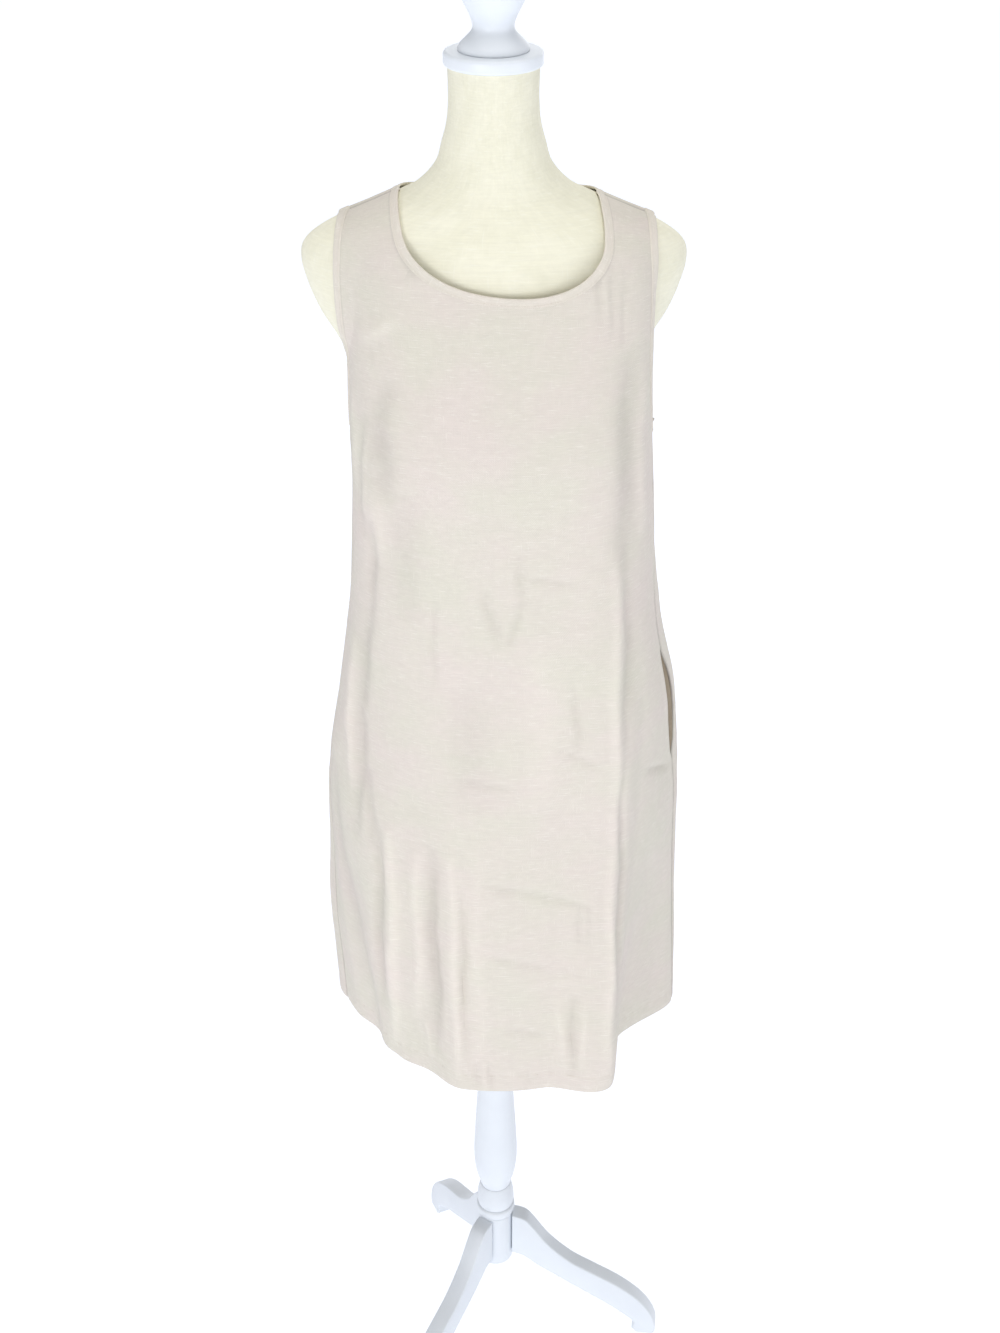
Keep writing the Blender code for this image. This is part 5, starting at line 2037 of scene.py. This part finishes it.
def rounded_edges(
    radius: float, top: float, bottom: float, edge: float, steps: int = 5
) -> tuple[tuple[float, float], ...]:
    """Profile of a disc whose two edges are rounded.

    Args:
        radius: The disc's radius.
        top: Height of its top.
        bottom: Height of its underside.
        edge: Radius of its edges.
        steps: Points in each rounded edge.

    Returns:
        Radius and height, from the top down.
    """
    profile = []
    for start, middle in ((90.0, top - edge), (0.0, bottom + edge)):
        for step in range(steps + 1):
            angle = math.radians(start - 90.0 * step / steps)
            across = radius - edge + edge * math.cos(angle)
            profile.append((across, middle + edge * math.sin(angle)))
    return tuple(profile)


@dataclass(frozen=True)
class BoardLeg:
    """A leg cut from board, with rounded edges, set round the hub at an angle."""

    name: str
    node: str
    turn: float
    thickness: float = 0.022
    edge: float = 0.0020
    upper: tuple[tuple[float, float], ...] = (
        (0.0231, 0.2070), (0.0400, 0.2020), (0.0530, 0.1860), (0.0720, 0.1580), (0.1020, 0.1290),
        (0.1350, 0.1090), (0.1670, 0.0900), (0.1940, 0.0680), (0.2110, 0.0460), (0.2205, 0.0230),
        (0.2215, 0.0060),
    )
    foot: tuple[tuple[float, float], ...] = ((0.2185, 0.0000), (0.1960, 0.0000))
    lower: tuple[tuple[float, float], ...] = (
        (0.1895, 0.0080), (0.1920, 0.0200), (0.1790, 0.0330), (0.1530, 0.0530), (0.1240, 0.0720),
        (0.0880, 0.0960), (0.0600, 0.1150), (0.0380, 0.1330),
    )
    end: tuple[float, float] = (0.0231, 0.1380)
    curve_steps: int = 6
    # Turns of the rounded edge at which it has a line, in degrees
    edge_turns: tuple[float, ...] = (90.0, 60.0, 30.0, 0.0)

    def build(self, material: bpy.types.Material) -> None:
        """Saw the leg, round its edges and paint it.

        Args:
            material: The paint.
        """
        outline = np.vstack([
            smooth_line(np.array(self.upper), self.curve_steps),
            np.array(self.foot),
            smooth_line(np.array(self.lower), self.curve_steps),
            np.array([self.end]),
        ])
        ahead = unit_rows(np.roll(outline, -1, axis=0) - outline)
        behind = unit_rows(outline - np.roll(outline, 1, axis=0))
        inward = unit_rows(ahead + behind)[:, ::-1] * np.array([1.0, -1.0])
        signed = np.cross(outline, np.roll(outline, -1, axis=0)).sum()
        inward = inward * (-1.0 if signed > 0 else 1.0)
        levels = []
        for angle in self.edge_turns:
            turn = math.radians(angle)
            across = self.thickness / 2 - self.edge + self.edge * math.sin(turn)
            levels.append((across, self.edge * (1 - math.cos(turn))))
        levels += [(-across, inset) for across, inset in reversed(levels)]
        way = np.array([math.cos(math.radians(self.turn)), math.sin(math.radians(self.turn)), 0.0])
        side = np.array([-way[1], way[0], 0.0])
        rings = []
        for across, inset in levels:
            flat = outline + inward * inset
            flat[:, 1] = np.maximum(flat[:, 1], 0.0)
            rings.append(
                flat[:, :1] * way + across * side + flat[:, 1:] * np.array([0.0, 0.0, 1.0])
            )
        faces = capped_rings(len(rings), len(outline))
        chart = np.tile(outline, (len(rings), 1))
        piece = mesh_piece(self.name, np.vstack(rings), faces, material, chart, WOOD_SHARP_ANGLE)
        put_on(piece, "white_paint", self.node)


@dataclass
class Stand:
    """The turned and sawn stand, with the disc and finial on the form's neck."""

    neck_top: float = 1.6980
    disc_thickness: float = 0.0130
    disc_radius: float = 0.0462
    disc_edge: float = 0.0035
    finial_top: float = 1.8010
    collar_radius: float = 0.0250
    collar_top: float = 0.2250
    collar_bottom: float = 0.2095
    collar_edge: float = 0.0050
    hub_radius: float = 0.0228
    hub_top: float = 0.2092
    hub_bottom: float = 0.1230
    hub_edge: float = 0.0030
    # Finial by radius and depth under its top, from its rounded tip to its foot
    finial_curve: tuple[tuple[float, float], ...] = (
        (0.0010, 0.0000), (0.0060, 0.0006), (0.0100, 0.0030), (0.0112, 0.0070), (0.0150, 0.0105),
        (0.0240, 0.0160), (0.0300, 0.0240), (0.0318, 0.0320), (0.0308, 0.0400), (0.0270, 0.0490),
        (0.0222, 0.0580), (0.0192, 0.0670), (0.0206, 0.0730), (0.0262, 0.0790), (0.0312, 0.0840),
        (0.0328, 0.0875), (0.0328, 0.0894),
    )
    post_curve: tuple[tuple[float, float], ...] = (
        (0.0160, 0.8797), (0.0160, 0.6200), (0.0170, 0.5600), (0.0192, 0.4950), (0.0218, 0.4400),
        (0.0240, 0.4000), (0.0262, 0.3600), (0.0277, 0.3250), (0.0270, 0.3000), (0.0240, 0.2800),
        (0.0214, 0.2710), (0.0196, 0.2626), (0.0188, 0.2605), (0.0202, 0.2590), (0.0221, 0.2520),
        (0.0235, 0.2430), (0.0239, 0.2340), (0.0230, 0.2253),
    )
    # Point of that curve where the vase ends in a groove and the cup under it starts
    post_groove: int = 12
    legs: tuple[BoardLeg, ...] = (
        BoardLeg("cabriole_leg_side", "leg_side", -7.0),
        BoardLeg("cabriole_leg_back", "leg_back", 113.0),
        BoardLeg("cabriole_leg_front", "leg_front", 235.5),
    )

    def build(self) -> None:
        """Turn, saw and paint every piece."""
        paint = WHITE_SATIN_PAINT.material()
        bottom = self.neck_top + SEAM_GAP
        top = bottom + self.disc_thickness
        plate = rounded_edges(self.disc_radius, top, bottom, self.disc_edge)
        collar = rounded_edges(
            self.collar_radius, self.collar_top, self.collar_bottom, self.collar_edge
        )
        hub = rounded_edges(self.hub_radius, self.hub_top, self.hub_bottom, self.hub_edge)
        finial = tuple((radius, self.finial_top - depth) for radius, depth in self.finial_curve)
        for piece in (
            TurnedPiece("neck_plate", "neck_disc", plate),
            TurnedPiece("turned_finial", "finial", finial, 5),
            TurnedPiece("turned_post", "post", self.post_curve, 6, self.post_groove),
            TurnedPiece("post_collar", "post_ring", collar),
            TurnedPiece("hub_block", "leg_hub", hub),
        ):
            piece.build(paint)
        for leg in self.legs:
            leg.build(paint)


@dataclass(frozen=True)
class SoftLight:
    """Square soft light: where it stands, how wide it is and its power in watts."""

    name: str
    place: tuple[float, float, float]
    size: float
    power: float

    def build(self, aim: tuple[float, float, float]) -> None:
        """Put the light up.

        Args:
            aim: The place that it faces.
        """
        data = bpy.data.lights.new(self.name, "AREA")
        data.size = self.size
        data.energy = self.power
        lamp = bpy.data.objects.new(self.name, data)
        lamp.location = self.place
        way = Vector(aim) - Vector(self.place)
        lamp.rotation_euler = way.to_track_quat("-Z", "Y").to_euler()
        bpy.context.scene.collection.objects.link(lamp)


@dataclass
class Studio:
    """Pale floor, soft light and the camera at the photograph's angle."""

    # Camera from the stand's axis, tilted down, with its focal length on its sensor, in mm
    camera_place: tuple[float, float, float] = (0.0058, -1.696, 2.096)
    camera_tilt: float = 31.5
    camera_lens: float = 49.152
    camera_sensor: float = 36.0
    floor_size: float = 60.0
    floor_height: float = -0.0005
    floor_colour: str = "808080"
    floor_glow: float = 1.06
    floor_tint: str = "F1F5FF"
    sky_colour: str = "FFFFFF"
    sky_strength: float = 0.32
    dress_middle: tuple[float, float, float] = (0.0, 0.0, 1.0)
    lights: tuple[SoftLight, ...] = (
        SoftLight("key_window", (-1.7, -2.9, 1.3), 1.3, 34.0),
        SoftLight("front_fill", (0.3, -3.2, 1.0), 1.8, 11.0),
        SoftLight("side_fill", (2.7, -1.7, 1.2), 1.6, 16.0),
        SoftLight("overhead_softbox", (0.1, 0.1, 4.2), 2.6, 54.0),
        SoftLight("back_fill", (0.6, 3.0, 1.8), 2.4, 18.0),
    )

    def build(self) -> None:
        """Build the stage, the lights and the camera."""
        scene = bpy.context.scene
        low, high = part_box("post")
        data = bpy.data.cameras.new("photo_view")
        data.lens = self.camera_lens
        data.sensor_width = self.camera_sensor
        camera = bpy.data.objects.new("photo_view", data)
        x, y, z = self.camera_place
        camera.location = ((low.x + high.x) / 2 + x, (low.y + high.y) / 2 + y, z)
        camera.rotation_euler = (math.radians(90.0 - self.camera_tilt), 0.0, 0.0)
        scene.collection.objects.link(camera)
        scene.camera = camera

        world = bpy.data.worlds.new("soft_room")
        world.use_nodes = True
        sky = world.node_tree.nodes["Background"]
        sky.inputs["Color"].default_value = linear(self.sky_colour)
        sky.inputs["Strength"].default_value = self.sky_strength
        scene.world = world
        for light in self.lights:
            light.build(self.dress_middle)

        floor = bpy.data.meshes.new("studio_floor")
        half = self.floor_size / 2
        corners = [(-half, -half, 0.0), (half, -half, 0.0), (half, half, 0.0), (-half, half, 0.0)]
        floor.from_pydata(corners, [], [(0, 1, 2, 3)])
        paper = bpy.data.materials.new("white_paper_floor")
        paper.use_nodes = True
        shader = paper.node_tree.nodes["Principled BSDF"]
        shader.inputs["Base Color"].default_value = linear(self.floor_colour)
        shader.inputs["Roughness"].default_value = 0.95
        shader.inputs["Specular IOR Level"].default_value = 0.0
        shader.inputs["Emission Color"].default_value = linear(self.floor_tint)
        shader.inputs["Emission Strength"].default_value = self.floor_glow
        floor.materials.append(paper)
        stage = bpy.data.objects.new("studio_floor", floor)
        stage.location.z = self.floor_height
        scene.collection.objects.link(stage)
        scene.view_settings.view_transform = "Standard"


def main() -> None:
    """Build the studio, the form, the stand and the dress, in that order."""
    logging.basicConfig(level=logging.INFO, format="%(name)s %(message)s")
    Studio().build()
    form_tree = DressForm().build()
    Stand().build()
    Dress(form_tree).build()


if __name__ == "__main__":
    main()
